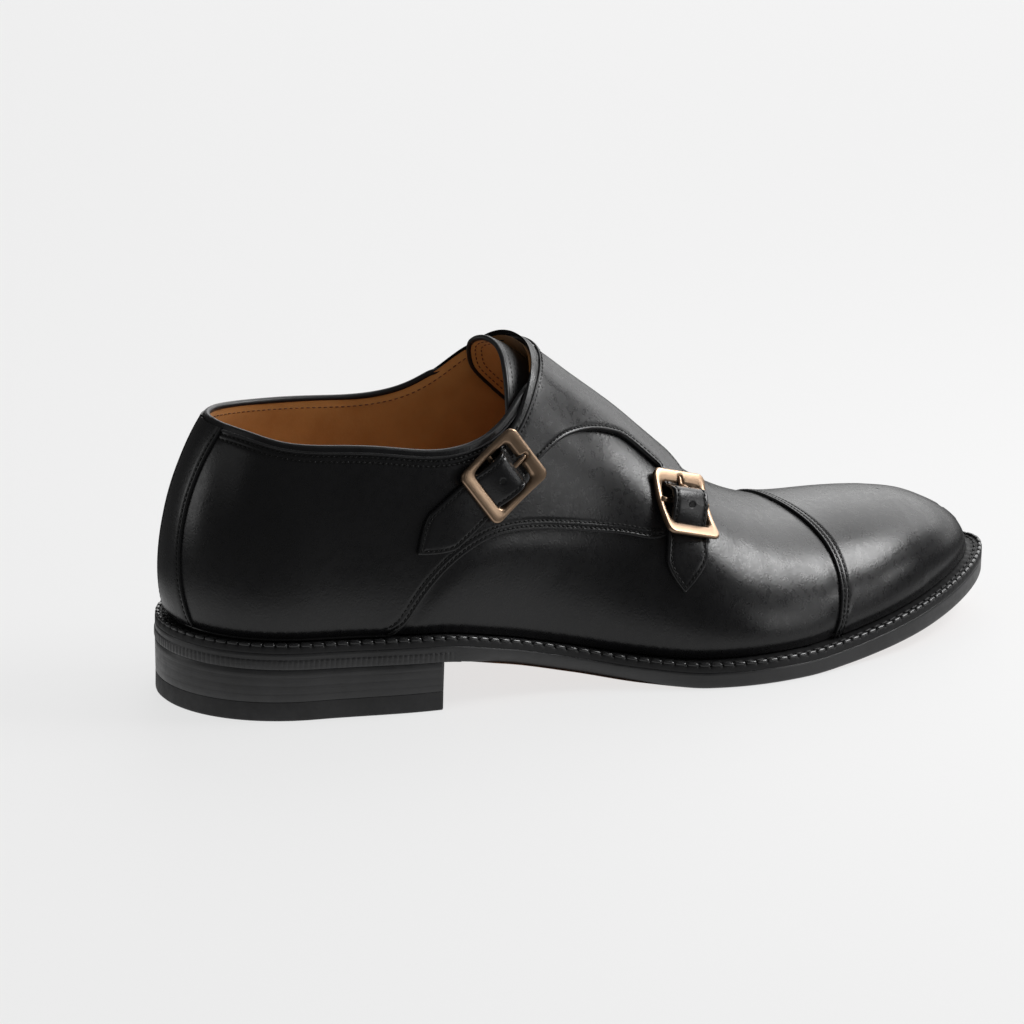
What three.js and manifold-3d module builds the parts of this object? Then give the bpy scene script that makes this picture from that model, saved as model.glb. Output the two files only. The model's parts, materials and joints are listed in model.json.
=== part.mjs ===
// A men's cap-toe double monk strap shoe for the right foot.
// Millimetres, +Z up. While it is being shaped, X runs from the back of the heel
// to the toe tip, +Y is the inner (medial) side and Z = 0 is the ground.
// At the end the whole shoe is moved so that its origin is the centre of its footprint.
import * as THREE from 'three';
import { mergeVertices } from 'three/addons/utils/BufferGeometryUtils.js';
import Module from 'manifold-3d';

const wasm = await Module();
wasm.setup();

// ---- driving sizes ---------------------------------------------------------

const LENGTH = 303.5;          // outsole, back of heel to toe tip
const HEEL_ROUND = 37;         // length of the round end at the heel
const TOE_ROUND = 66;          // length of the round end at the toe
const GAP = 0.3;               // between pieces that touch

const SOLE_THICK = 5.3;        // leather outsole
const WELT_THICK = 2.6;
const WELT_TOP = SOLE_THICK + GAP + WELT_THICK;   // above the underside of the sole
const WELT_UNDER_UPPER = 4;    // how far the welt reaches in under the upper
const EDGE_ROUND = 0.7;        // softened edges of sole and heel

const HEEL_BREAST = 78;        // front face of the heel, from the back
const TOP_PIECE_THICK = 6.5;   // rubber piece that the heel stands on

const WALL = 2.2;              // upper leather and lining together
const INSOLE_ABOVE_WELT = 2.2;
const INSOLE_CLEAR = 0.6;

const CAP_THICK = 1.1;         // toe cap and back strip, proud of the upper
const CAP_ABOVE = 0.45;        // their underside above the form's surface
const TONGUE_THICK = 1.6;
const TONGUE_BELOW = 3.4;      // top face of the tongue below the form's surface
const STRAP_THICK = 1.6;
const STRAP_ABOVE = 0.5;       // underside of the straps above the form's surface

// Buckle frame: outer size, widths of its side and end bars, and its underside above the form.
const FRAME = { across: 21.4, along: 24.4, side: 2.5, end: 4.8, thick: 1.8, corner: 2.4, above: 2.5 };
const FRAME_BEVEL = 0.4;
const WINDOW_CORNER = 1.6;
const NOTCH = { half: 1.3, deep: 2.4 };           // seat of the prong in the upper end bar
const BAR_RADIUS = 0.9;
const BAR_ABOVE = 2.5;         // centre bar above the form's surface
const HUMP = { rise: 4.4, half: 8.6 };            // the strap climbs over the centre bar
// Rings round the centre bar: leather tab that holds the buckle, and the prong's eye and shaft.
const TAB = { half: 6, inside: 1.2, outside: 1.95, leg: 4.5, slotHalf: 1.1 };
const PRONG = { half: 0.65, inside: 1.2, outside: 1.95, thick: 1.2, above: 3.8, reach: 9.1 };
const STRAP_SLOT = { from: -7, to: -0.9, half: 1.1 };   // the hole that the prong comes up through

// Plan of the sole: centre line and half width before the two ends are rounded.
const SOLE_PLAN = [
  { x: 0, centre: 0, half: 36.6 },
  { x: 38, centre: -1.6, half: 36.6 },
  { x: 76.5, centre: -6.4, half: 38 },
  { x: 113, centre: -7.4, half: 35.6 },
  { x: 143, centre: -8, half: 40 },
  { x: 168, centre: -8.2, half: 49.8 },
  { x: 189, centre: -7, half: 53.8 },
  { x: 209, centre: -5, half: 53.2 },
  { x: 233, centre: -3.4, half: 48.2 },
  { x: 258, centre: -3.2, half: 41.2 },
  { x: 283, centre: -1.5, half: 33.8 },
  { x: 303.5, centre: 2, half: 28.8 },
];

// Underside of the outsole from the side: heel seat, arch, flat tread, toe spring.
const SOLE_SIDE = [
  { x: 0, bottom: 17.6 },
  { x: 40, bottom: 16.9 },
  { x: 76.5, bottom: 16.2 },
  { x: 100, bottom: 12.4 },
  { x: 125, bottom: 6.6 },
  { x: 148, bottom: 1.8 },
  { x: 168, bottom: 0 },
  { x: 204, bottom: 0 },
  { x: 224, bottom: 1.2 },
  { x: 250, bottom: 4.6 },
  { x: 280, bottom: 9.4 },
  { x: 303.5, bottom: 13 },
];

// Top line of the last, which the ribs of both sides meet.
const RIDGE = [
  { x: 44, y: -1, z: 113.5 },
  { x: 62, y: -2, z: 117.5 },
  { x: 80, y: -3, z: 119 },
  { x: 104, y: -3.5, z: 116.5 },
  { x: 120, y: -3.5, z: 110 },
  { x: 136, y: -3.5, z: 97.8 },
  { x: 160, y: -3.5, z: 79 },
  { x: 180, y: -3.5, z: 62 },
  { x: 200, y: -3.5, z: 50.5 },
  { x: 220, y: -3, z: 44.5 },
  { x: 242, y: -2, z: 43 },
  { x: 262, y: -1, z: 42.2 },
];

// Ribs of the last. Each starts on the welt at station `foot` and ends on the ridge at x `top`;
// `margin` is the bare welt outside it.
const RIBS = [
  { foot: 0, top: 44, margin: 4.2 },
  { foot: 20, top: 50, margin: 4.2 },
  { foot: 45, top: 66, margin: 4.2 },
  { foot: 78, top: 90, margin: 4.2 },
  { foot: 110, top: 113, margin: 4.5 },
  { foot: 140, top: 138, margin: 5 },
  { foot: 170, top: 166, margin: 5.5 },
  { foot: 195, top: 192, margin: 5.5 },
  { foot: 225, top: 223, margin: 5.5 },
  { foot: 250, top: 246, margin: 5.5 },
  { foot: 275, top: 258, margin: 5.5 },
  { foot: 303.5, top: 260, margin: 5.5 },
];

// Shape of the ribs on either side. `lean` is the outward lean in degrees at the welt, `rise` and
// `crown` are the lengths of the handles that shape the rib at the welt and at the ridge.
const OUTER_RIBS = [
  { foot: 0, lean: 19, rise: 32, crown: 30.5 },
  { foot: 20, lean: 14.5, rise: 30.5, crown: 31.5 },
  { foot: 45, lean: 10.5, rise: 32, crown: 34 },
  { foot: 78, lean: 10, rise: 32, crown: 36 },
  { foot: 110, lean: 10, rise: 30, crown: 34 },
  { foot: 140, lean: 10, rise: 27, crown: 27.5 },
  { foot: 170, lean: 10, rise: 24, crown: 26 },
  { foot: 195, lean: 9, rise: 20.5, crown: 29.5 },
  { foot: 225, lean: 8.5, rise: 17, crown: 31.5 },
  { foot: 250, lean: 8.5, rise: 16, crown: 28 },
  { foot: 275, lean: 6, rise: 12.5, crown: 22 },
  { foot: 303.5, lean: 5, rise: 7.5, crown: 18.5 },
];
const INNER_RIBS = [
  { foot: 0, lean: 19, rise: 32, crown: 30.5 },
  { foot: 20, lean: 16.5, rise: 31.5, crown: 30.5 },
  { foot: 45, lean: 10.5, rise: 32, crown: 32 },
  { foot: 78, lean: 4, rise: 33, crown: 32 },
  { foot: 110, lean: -2, rise: 34, crown: 28 },
  { foot: 140, lean: 0, rise: 32, crown: 24 },
  { foot: 170, lean: 6, rise: 24.5, crown: 23.5 },
  { foot: 195, lean: 8, rise: 19, crown: 29.5 },
  { foot: 225, lean: 9, rise: 15.5, crown: 30.5 },
  { foot: 250, lean: 8.5, rise: 15.5, crown: 29 },
  { foot: 275, lean: 8, rise: 12, crown: 26 },
  { foot: 303.5, lean: 5, rise: 7.5, crown: 18.5 },
];

// Places on the upper are given by `station`, the mm along the shoe where their rib starts,
// and `across`: -1 on the outer welt line, 0 on the ridge, +1 on the inner welt line.

// Edge of the opening for the foot, down to the end of the throat under the straps.
const OPENING = [
  { station: 0, outer: -0.365, inner: 0.365 },
  { station: 10, outer: -0.385, inner: 0.38 },
  { station: 24, outer: -0.43, inner: 0.41 },
  { station: 48, outer: -0.478, inner: 0.46 },
  { station: 72, outer: -0.502, inner: 0.475 },
  { station: 90, outer: -0.465, inner: 0.435 },
  { station: 103, outer: -0.382, inner: 0.33 },
  { station: 114, outer: -0.28, inner: 0.2 },
  { station: 126, outer: -0.21, inner: 0.16 },
  { station: 148, outer: -0.17, inner: 0.14 },
];
const THROAT_END = 153;

// Back edge of the toe cap.
const CAP_EDGE = [
  { across: -1, station: 219.5 },
  { across: -0.75, station: 223 },
  { across: -0.45, station: 224.6 },
  { across: -0.15, station: 222 },
  { across: 0.1, station: 219.5 },
  { across: 0.45, station: 220.5 },
  { across: 1, station: 215 },
];

// Half width of the strip up the back seam, from the welt to the collar.
const BACK_STRIP = [
  { across: 0.37, half: 13 },
  { across: 0.5, half: 9.5 },
  { across: 0.7, half: 8 },
  { across: 0.85, half: 9.5 },
  { across: 0.99, half: 13 },
];

// Back edge of the tongue at its top, and how far down the throat it reaches.
const TONGUE_TOP = [
  { across: -0.42, station: 104.5 },
  { across: -0.3, station: 106.5 },
  { across: -0.18, station: 109 },
  { across: -0.05, station: 111 },
  { across: 0.08, station: 109.5 },
  { across: 0.19, station: 108 },
  { across: 0.27, station: 110.5 },
  { across: 0.33, station: 116.5 },
  { across: 0.37, station: 128 },
];
const TONGUE_END = 166;

// The piece with the two straps: its back and front edges from the inner side over the ridge.
const WING_BACK = [
  { step: 0, station: 99, across: 0.39 },
  { step: 0.25, station: 110.5, across: 0.28 },
  { step: 0.45, station: 117.2, across: 0.17 },
  { step: 0.6, station: 121.4, across: 0.06 },
  { step: 0.72, station: 122.6, across: -0.045 },
  { step: 0.86, station: 118, across: -0.2 },
  { step: 1, station: 108.5, across: -0.355 },
];
const WING_FRONT = [
  { step: 0, station: 152, across: 0.42 },
  { step: 0.25, station: 166, across: 0.27 },
  { step: 0.5, station: 174, across: 0.1 },
  { step: 0.7, station: 177.5, across: -0.02 },
  { step: 0.86, station: 180, across: -0.12 },
  { step: 1, station: 181, across: -0.2 },
];
// Crest of the cut-out between the two straps, from the rear strap to the front strap.
const ARCH = [
  { step: 0.16, station: 122.7, across: -0.419 },
  { step: 0.32, station: 129.2, across: -0.378 },
  { step: 0.5, station: 139.5, across: -0.319 },
  { step: 0.68, station: 148.5, across: -0.28 },
  { step: 0.84, station: 155.5, across: -0.268 },
];

// Each buckle sits on the outer side, turned so that its strap points at `aim`. The strap runs
// from `root` to `tip` along that line, `straight` is where its point begins, and `waist` and
// `blade` are its half widths inside the buckle and below it.
const BUCKLES = [
  {
    name: 'rear',
    station: 95.8,
    across: -0.553,
    aim: { station: 67.6, across: -0.75 },
    root: -14.5,
    tip: 36.4,
    straight: 16,
    waist: 6.7,
    blade: 7.5,
  },
  {
    name: 'front',
    station: 169.3,
    across: -0.427,
    aim: { station: 162.3, across: -0.723 },
    root: -13.5,
    tip: 27.8,
    straight: 12,
    waist: 6.6,
    blade: 6.6,
  },
];

// ---- curves through tables -------------------------------------------------

// Natural cubic spline through knots at xs with heights ys.
function spline(xs, ys) {
  const last = xs.length - 1;
  const bend = new Array(last + 1).fill(0);
  const carry = new Array(last + 1).fill(0);
  for (let i = 1; i < last; i++) {
    const left = xs[i] - xs[i - 1];
    const right = xs[i + 1] - xs[i];
    const pivot = 2 * (left + right) - left * carry[i - 1];
    carry[i] = right / pivot;
    const turn = (ys[i + 1] - ys[i]) / right - (ys[i] - ys[i - 1]) / left;
    bend[i] = (6 * turn - left * bend[i - 1]) / pivot;
  }
  for (let i = last - 1; i > 0; i--) {
    bend[i] -= carry[i] * bend[i + 1];
  }
  return (x) => {
    let i = 0;
    while (i < last - 1 && x > xs[i + 1]) i++;
    const width = xs[i + 1] - xs[i];
    const b = (x - xs[i]) / width;
    const a = 1 - b;
    const curve = (a ** 3 - a) * bend[i] + (b ** 3 - b) * bend[i + 1];
    return a * ys[i] + b * ys[i + 1] + (curve * width * width) / 6;
  };
}

// Smooth curve that keeps level stretches level and never overshoots its knots.
function levelCurve(xs, ys) {
  const last = xs.length - 1;
  const slope = (i) => (ys[i + 1] - ys[i]) / (xs[i + 1] - xs[i]);
  const tangents = xs.map((x, i) => {
    if (i === 0) return slope(0);
    if (i === last) return slope(last - 1);
    const before = slope(i - 1);
    const after = slope(i);
    return before * after <= 0 ? 0 : (2 * before * after) / (before + after);
  });
  return (x) => {
    let i = 0;
    while (i < last - 1 && x > xs[i + 1]) i++;
    const width = xs[i + 1] - xs[i];
    const t = THREE.MathUtils.clamp((x - xs[i]) / width, 0, 1);
    const rise = ys[i + 1] - ys[i];
    const start = tangents[i] * width;
    const end = tangents[i + 1] * width;
    return ys[i] + t * (start + t * (3 * rise - 2 * start - end + t * (start + end - 2 * rise)));
  };
}

const column = (rows, key) => rows.map((row) => row[key]);
const through = (rows, by, key) => spline(column(rows, by), column(rows, key));

// ---- the sole's outline ----------------------------------------------------

const OUTER = -1;
const INNER = 1;

const planCentre = through(SOLE_PLAN, 'x', 'centre');
const planHalf = through(SOLE_PLAN, 'x', 'half');
const soleBottom = levelCurve(column(SOLE_SIDE, 'x'), column(SOLE_SIDE, 'bottom'));

// Stations are spaced as on a half circle, so both round ends get close steps:
// u runs from 0 at the back of the heel to 1 at the toe tip.
const stationAt = (u) => (LENGTH * (1 - Math.cos(Math.PI * u))) / 2;
const turnAt = (station) => Math.acos(1 - (2 * station) / LENGTH) / Math.PI;

function endRounding(x) {
  const heel = Math.max(0, 1 - x / HEEL_ROUND);
  const toe = Math.max(0, (x - LENGTH + TOE_ROUND) / TOE_ROUND);
  return Math.sqrt(Math.max(0, 1 - Math.max(heel, toe) ** 2));
}

// Before the heel and past the toe the outline goes on along the other side.
function outline(u, side) {
  const x = stationAt(u);
  const sign = u < 0 || u > 1 ? -side : side;
  return new THREE.Vector2(x, planCentre(x) + sign * planHalf(x) * endRounding(x));
}

// Point of the outline moved inwards by `inset`.
function insetOutline(u, side, inset) {
  const step = 1e-4;
  const along = outline(u + step, side).sub(outline(u - step, side)).normalize();
  const outward = new THREE.Vector2(-along.y, along.x).multiplyScalar(side);
  return outline(u, side).addScaledVector(outward, -inset);
}

// ---- the last --------------------------------------------------------------

const ribTurns = RIBS.map((row) => turnAt(row.foot));
const ribValue = (rows, key) => spline(ribTurns, column(rows, key));
const ribTop = ribValue(RIBS, 'top');
const ribMargin = ribValue(RIBS, 'margin');
const ribShape = {
  [OUTER]: ['lean', 'rise', 'crown'].map((key) => ribValue(OUTER_RIBS, key)),
  [INNER]: ['lean', 'rise', 'crown'].map((key) => ribValue(INNER_RIBS, key)),
};
const ridgeY = through(RIDGE, 'x', 'y');
const ridgeZ = through(RIDGE, 'x', 'z');
const SLOPE_STEP = 0.5;
const ridgeSlope = (x) => (ridgeZ(x + SLOPE_STEP) - ridgeZ(x - SLOPE_STEP)) / (2 * SLOPE_STEP);

// How far ribs fan out lengthways: at the heel and at the toe, not along the middle.
function fan(x) {
  return THREE.MathUtils.smoothstep(x, 225, 255) + 1 - THREE.MathUtils.smoothstep(x, 48, 80);
}

// The rib at turn u as a curve from the welt (0) to the ridge (1).
function rib(u, side) {
  const [lean, rise, crown] = ribShape[side].map((value) => value(u));
  const margin = ribMargin(u);
  const foot2 = insetOutline(u, side, margin);
  const outward = insetOutline(u, side, margin - 1).sub(foot2);
  const foot = new THREE.Vector3(foot2.x, foot2.y, soleBottom(foot2.x) + WELT_TOP + GAP);
  const angle = THREE.MathUtils.degToRad(lean);
  const low = new THREE.Vector3(outward.x * Math.sin(angle), outward.y * Math.sin(angle), Math.cos(angle));
  const x = ribTop(u);
  const top = new THREE.Vector3(x, ridgeY(x), ridgeZ(x));
  const spread = new THREE.Vector2((foot.x - x) * fan(x), foot.y - top.y).normalize();
  const high = new THREE.Vector3(spread.x, spread.y, ridgeSlope(x) * spread.x);
  return new THREE.CubicBezierCurve3(
    foot,
    low.multiplyScalar(rise).add(foot),
    high.multiplyScalar(crown).add(top),
    top,
  );
}

// Surface of the last. Past either end of u the surface goes on round to the other side.
function form(u, across) {
  const wrapped = u < 0 || u > 1;
  const turn = u < 0 ? -u : u > 1 ? 2 - u : u;
  const place = wrapped ? -across : across;
  return rib(turn, place < 0 ? OUTER : INNER).getPoint(1 - Math.abs(place));
}

function formNormal(u, across) {
  if (Math.abs(across) < 1e-6) {
    return new THREE.Vector3(-ridgeSlope(ribTop(u)), 0, 1).normalize();
  }
  const step = 0.004;
  const place = Math.sign(across) * Math.min(Math.abs(across), 1 - step);
  const along = form(u + step, place).sub(form(u - step, place));
  const upward = form(u, place - Math.sign(place) * step).sub(form(u, place + Math.sign(place) * step));
  return along.cross(upward).multiplyScalar(-Math.sign(across)).normalize();
}

// ---- solids ----------------------------------------------------------------

// Collects faces, joins points that coincide and turns the finished solid the right way out.
class Solid {
  constructor() {
    this.points = [];
    this.triangles = [];
    this.known = new Map();
  }

  point(position) {
    const key = position.toArray().map((value) => Math.round(value * 1000)).join();
    if (!this.known.has(key)) {
      this.known.set(key, this.points.length);
      this.points.push(position.clone());
    }
    return this.known.get(key);
  }

  face(...ids) {
    for (let i = 2; i < ids.length; i++) {
      const triangle = [ids[0], ids[i - 1], ids[i]];
      if (new Set(triangle).size === 3) this.triangles.push(triangle);
    }
  }

  volume() {
    let sum = 0;
    for (const [a, b, c] of this.triangles) {
      sum += this.points[a].dot(this.points[b].clone().cross(this.points[c])) / 6;
    }
    return sum;
  }

  geometry() {
    const outwards = this.volume() > 0;
    const index = this.triangles.flatMap(([a, b, c]) => (outwards ? [a, b, c] : [a, c, b]));
    const positions = this.points.flatMap((point) => point.toArray());
    const geometry = new THREE.BufferGeometry();
    geometry.setAttribute('position', new THREE.Float32BufferAttribute(positions, 3));
    geometry.setIndex(index);
    return geometry;
  }
}

// A grid of places (u, across) on the last: `make(r, c)` with r and c from 0 to 1.
function sheet(rows, columns, make) {
  const places = [];
  const faces = [];
  for (let r = 0; r <= rows; r++) {
    for (let c = 0; c <= columns; c++) {
      places.push(make(r / rows, c / columns));
      if (r < rows && c < columns) {
        const corner = r * (columns + 1) + c;
        faces.push([corner, corner + 1, corner + columns + 2, corner + columns + 1]);
      }
    }
  }
  return { places, faces };
}

function joinSheets(sheets) {
  const places = [];
  const faces = [];
  for (const part of sheets) {
    const start = places.length;
    places.push(...part.places);
    faces.push(...part.faces.map((face) => face.map((id) => id + start)));
  }
  return { places, faces };
}

// The space between two surfaces that follow the last, `low` and `high` mm off it,
// cut along the sheet's edges. `lift` adds a local rise to both.
function layer(patch, low, high, lift = () => 0) {
  const solid = new Solid();
  const pairs = new Map();
  const keys = patch.places.map(([u, place]) => {
    // Both sides share the ribs at the heel seam and at the toe tip.
    const across = u <= 0 || u >= 1 ? -Math.abs(place) : place;
    const base = form(u, across);
    const key = base.toArray().map((value) => Math.round(value * 1000)).join();
    if (!pairs.has(key)) {
      const normal = formNormal(u, across);
      const rise = lift(base);
      const under = solid.point(base.clone().addScaledVector(normal, low + rise));
      const over = solid.point(base.clone().addScaledVector(normal, high + rise));
      pairs.set(key, { under, over });
    }
    return key;
  });
  const edges = new Map();
  for (const face of patch.faces) {
    const corners = face.map((id) => pairs.get(keys[id]));
    solid.face(...corners.map((pair) => pair.over));
    solid.face(...corners.map((pair) => pair.under).reverse());
    face.forEach((id, i) => {
      const from = keys[id];
      const to = keys[face[(i + 1) % face.length]];
      if (from !== to && !edges.delete(`${to}|${from}`)) edges.set(`${from}|${to}`, [from, to]);
    });
  }
  for (const [from, to] of edges.values()) {
    const a = pairs.get(from);
    const b = pairs.get(to);
    solid.face(a.over, a.under, b.under, b.over);
  }
  return solid.geometry();
}

// Closed loops of the sole's outline stacked from the ground up. A level is
// { inset, z } with z a function of x; `end` is the last turn that is used.
function outlineLoop(steps, end, { inset, z }) {
  const loop = [];
  for (const side of [OUTER, INNER]) {
    const half = [];
    for (let i = 0; i <= steps; i++) {
      const flat = insetOutline((end * i) / steps, side, inset);
      half.push(new THREE.Vector3(flat.x, flat.y, z(flat.x)));
    }
    loop.push(...(side === OUTER ? half : half.reverse()));
  }
  return loop;
}

function stack(steps, end, levels) {
  const solid = new Solid();
  const loops = levels.map((level) => outlineLoop(steps, end, level).map((point) => solid.point(point)));
  const count = loops[0].length;
  for (let l = 1; l < loops.length; l++) {
    for (let i = 0; i < count; i++) {
      const next = (i + 1) % count;
      solid.face(loops[l - 1][i], loops[l - 1][next], loops[l][next], loops[l][i]);
    }
  }
  const floor = loops[0];
  const roof = loops[loops.length - 1];
  for (let i = 0; i < steps; i++) {
    const mirror = count - 1 - i;
    solid.face(floor[i], floor[mirror], floor[mirror - 1], floor[i + 1]);
    solid.face(roof[i], roof[i + 1], roof[mirror - 1], roof[mirror]);
  }
  return solid.geometry();
}

const aboveSole = (height) => (x) => soleBottom(x) + height;
const flatAt = (height) => () => height;

// ---- sole and heel ---------------------------------------------------------

const OUTLINE_STEPS = 40;
const HEEL_STEPS = 16;
const BREAST_TURN = turnAt(HEEL_BREAST);

function outsole() {
  return stack(OUTLINE_STEPS, 1, [
    { inset: EDGE_ROUND, z: aboveSole(0) },
    { inset: 0, z: aboveSole(EDGE_ROUND) },
    { inset: 0, z: aboveSole(SOLE_THICK) },
  ]);
}

function welt() {
  const solid = new Solid();
  const rim = (inset, height) => {
    return outlineLoop(OUTLINE_STEPS, 1, { inset, z: aboveSole(height) }).map((point) => solid.point(point));
  };
  const reach = RIBS[0].margin + WELT_UNDER_UPPER;
  const floor = SOLE_THICK + GAP;
  const loops = [
    rim(0, floor),
    rim(0, WELT_TOP - EDGE_ROUND),
    rim(EDGE_ROUND, WELT_TOP),
    rim(reach, WELT_TOP),
    rim(reach, floor),
  ];
  loops.forEach((loop, l) => {
    const above = loops[(l + 1) % loops.length];
    loop.forEach((id, i) => {
      const next = (i + 1) % loop.length;
      solid.face(id, loop[next], above[next], above[i]);
    });
  });
  return solid.geometry();
}

function heelStack() {
  return stack(HEEL_STEPS, BREAST_TURN, [
    { inset: 0.3, z: flatAt(TOP_PIECE_THICK + GAP) },
    { inset: 0, z: aboveSole(-GAP) },
  ]);
}

function heelTopPiece() {
  return stack(HEEL_STEPS, BREAST_TURN, [
    { inset: 0.3 + EDGE_ROUND, z: flatAt(0) },
    { inset: 0.3, z: flatAt(EDGE_ROUND) },
    { inset: 0.3, z: flatAt(TOP_PIECE_THICK) },
  ]);
}

function insole() {
  const inWelt = RIBS[0].margin + WELT_UNDER_UPPER + GAP;
  const inUpper = RIBS[7].margin + WALL + INSOLE_CLEAR;
  return stack(OUTLINE_STEPS, 1, [
    { inset: inWelt, z: aboveSole(SOLE_THICK + GAP) },
    { inset: inWelt, z: aboveSole(WELT_TOP + GAP) },
    { inset: inUpper, z: aboveSole(WELT_TOP + GAP) },
    { inset: inUpper, z: aboveSole(WELT_TOP + INSOLE_ABOVE_WELT) },
  ]);
}

// ---- upper -----------------------------------------------------------------

const openingTurns = OPENING.map((row) => turnAt(row.station));
const openingEdge = {
  [OUTER]: spline(openingTurns, column(OPENING, 'outer')),
  [INNER]: spline(openingTurns, column(OPENING, 'inner')),
};
const throatTurn = turnAt(THROAT_END);

function topOf(u, side) {
  return u < throatTurn ? openingEdge[side](u) : 0;
}

function upper() {
  const rows = 46;
  const columns = 10;
  const outer = sheet(rows, columns, (r, c) => [r, THREE.MathUtils.lerp(-1, topOf(r, OUTER), c)]);
  const inner = sheet(rows, columns, (r, c) => [r, THREE.MathUtils.lerp(topOf(r, INNER), 1, c)]);
  return layer(joinSheets([outer, inner]), -WALL, 0);
}

function toeCap() {
  const edge = through(CAP_EDGE, 'across', 'station');
  const reach = 0.975;
  const cap = sheet(9, 20, (r, c) => {
    const across = reach * (2 * c - 1);
    return [THREE.MathUtils.lerp(turnAt(edge(across)), 1, r), across];
  });
  return layer(cap, CAP_ABOVE, CAP_ABOVE + CAP_THICK);
}

// Near the back of the heel the outline moves sideways by this many mm for each unit of turn.
const HEEL_REACH = Math.PI * SOLE_PLAN[0].half * Math.sqrt(LENGTH / (2 * HEEL_ROUND));

function backStrip() {
  const half = through(BACK_STRIP, 'across', 'half');
  const strip = (side) => sheet(3, 12, (r, c) => {
    const height = THREE.MathUtils.lerp(0.975, 0.375, c);
    const turn = (r * half(height)) / HEEL_REACH;
    return side === OUTER ? [turn, -height] : [turn, height];
  });
  const inner = strip(INNER);
  inner.faces = inner.faces.map((face) => [...face].reverse());
  return layer(joinSheets([strip(OUTER), inner]), CAP_ABOVE, CAP_ABOVE + CAP_THICK);
}

function tongue() {
  const top = through(TONGUE_TOP, 'across', 'station');
  const sides = [TONGUE_TOP[0].across, TONGUE_TOP[TONGUE_TOP.length - 1].across];
  const leaf = sheet(9, 12, (r, c) => {
    const across = THREE.MathUtils.lerp(...sides, c);
    return [turnAt(THREE.MathUtils.lerp(top(across), TONGUE_END, r)), across];
  });
  return layer(leaf, -TONGUE_BELOW - TONGUE_THICK, -TONGUE_BELOW);
}

// ---- straps and buckles ----------------------------------------------------

// Local axes of a buckle: `along` its strap towards the tip, `across` it and `out` of the upper.
function buckleSeat({ station, across, aim }) {
  const turn = turnAt(station);
  const out = formNormal(turn, across);
  const centre = form(turn, across);
  const along = form(turnAt(aim.station), aim.across).sub(centre).projectOnPlane(out).normalize();
  return { turn, place: across, centre, along, across: out.clone().cross(along), out };
}

const seats = Object.fromEntries(BUCKLES.map((buckle) => [buckle.name, buckleSeat(buckle)]));

// The place on the last under a point of the buckle's plane, found by Newton steps.
function placeUnder(seat, along, across) {
  let u = seat.turn;
  let place = seat.place;
  const step = 1e-4;
  const miss = (a, b) => {
    const offset = form(a, b).sub(seat.centre);
    return new THREE.Vector2(offset.dot(seat.along) - along, offset.dot(seat.across) - across);
  };
  for (let round = 0; round < 12; round++) {
    const error = miss(u, place);
    const du = miss(u + step, place).sub(error).divideScalar(step);
    const dp = miss(u, place + step).sub(error).divideScalar(step);
    const det = du.x * dp.y - dp.x * du.y;
    u -= (error.x * dp.y - dp.x * error.y) / det;
    place -= (du.x * error.y - error.x * du.y) / det;
  }
  return [u, place];
}

// Half width of a strap: narrow inside the buckle, full below it, then drawn in to the point.
function strapHalf({ straight, tip, waist, blade }, along) {
  const full = THREE.MathUtils.lerp(waist, blade, THREE.MathUtils.smoothstep(along, 5, straight));
  const p = THREE.MathUtils.clamp((along - straight) / (tip - straight), 0, 1);
  return full * (1 - 0.97 * p ** 2.4);
}

function humpOver(seat) {
  return (point) => {
    const offset = point.clone().sub(seat.centre);
    const along = offset.dot(seat.along) / HUMP.half;
    if (Math.abs(along) > 1 || Math.abs(offset.dot(seat.across)) > FRAME.across / 2) return 0;
    return HUMP.rise * Math.cos((Math.PI * along) / 2) ** 2;
  };
}

// Distances along a strap: close steps over the bar, wider ones to the tip.
function strapSteps({ root, tip }) {
  const steps = [];
  for (let s = root; s < HUMP.half + 1; s += 1.6) steps.push(s);
  const rest = Math.ceil((tip - HUMP.half - 1) / 5);
  for (let i = 0; i <= rest; i++) steps.push(THREE.MathUtils.lerp(HUMP.half + 1.6, tip, i / rest));
  return steps;
}

const STRAP_COLUMNS = 4;

function strapPlace(buckle, along, c) {
  return placeUnder(seats[buckle.name], along, strapHalf(buckle, along) * (2 * c - 1));
}

function strapSheet(buckle) {
  const steps = strapSteps(buckle);
  const last = steps.length - 1;
  return sheet(last, STRAP_COLUMNS, (r, c) => strapPlace(buckle, steps[Math.round(r * last)], c));
}

// The leather over the instep, from the inner side to the fork where the two straps begin.
function wingSheet() {
  const [rear, front] = BUCKLES;
  const strap = (buckle) => Array.from({ length: STRAP_COLUMNS + 1 }, (_, i) => {
    return strapPlace(buckle, buckle.root, i / STRAP_COLUMNS);
  });
  const crest = ARCH.map((row) => [turnAt(row.station), row.across]);
  const fork = [...strap(rear), ...crest, ...strap(front)];
  const last = fork.length - 1;
  const edge = (rows) => {
    const steps = column(rows, 'step');
    const turn = spline(steps, rows.map((row) => turnAt(row.station)));
    const across = spline(steps, column(rows, 'across'));
    return (step) => [turn(step), across(step)];
  };
  const back = edge(WING_BACK);
  const ahead = edge(WING_FRONT);
  const mix = (a, b, t) => a.map((value, i) => THREE.MathUtils.lerp(value, b[i], t));
  // A Coons patch between the root on the inner side, the fork and the two edges.
  return sheet(14, last, (r, c) => {
    const root = mix(back(0), ahead(0), c);
    const end = fork[Math.round(c * last)];
    const chordBack = mix(back(0), back(1), r);
    const chordAhead = mix(ahead(0), ahead(1), r);
    const bulge = (edgePlace, chord, i) => edgePlace[i] - chord[i];
    return mix(root, end, r).map((value, i) => {
      return value + (1 - c) * bulge(back(r), chordBack, i) + c * bulge(ahead(r), chordAhead, i);
    });
  });
}

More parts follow.
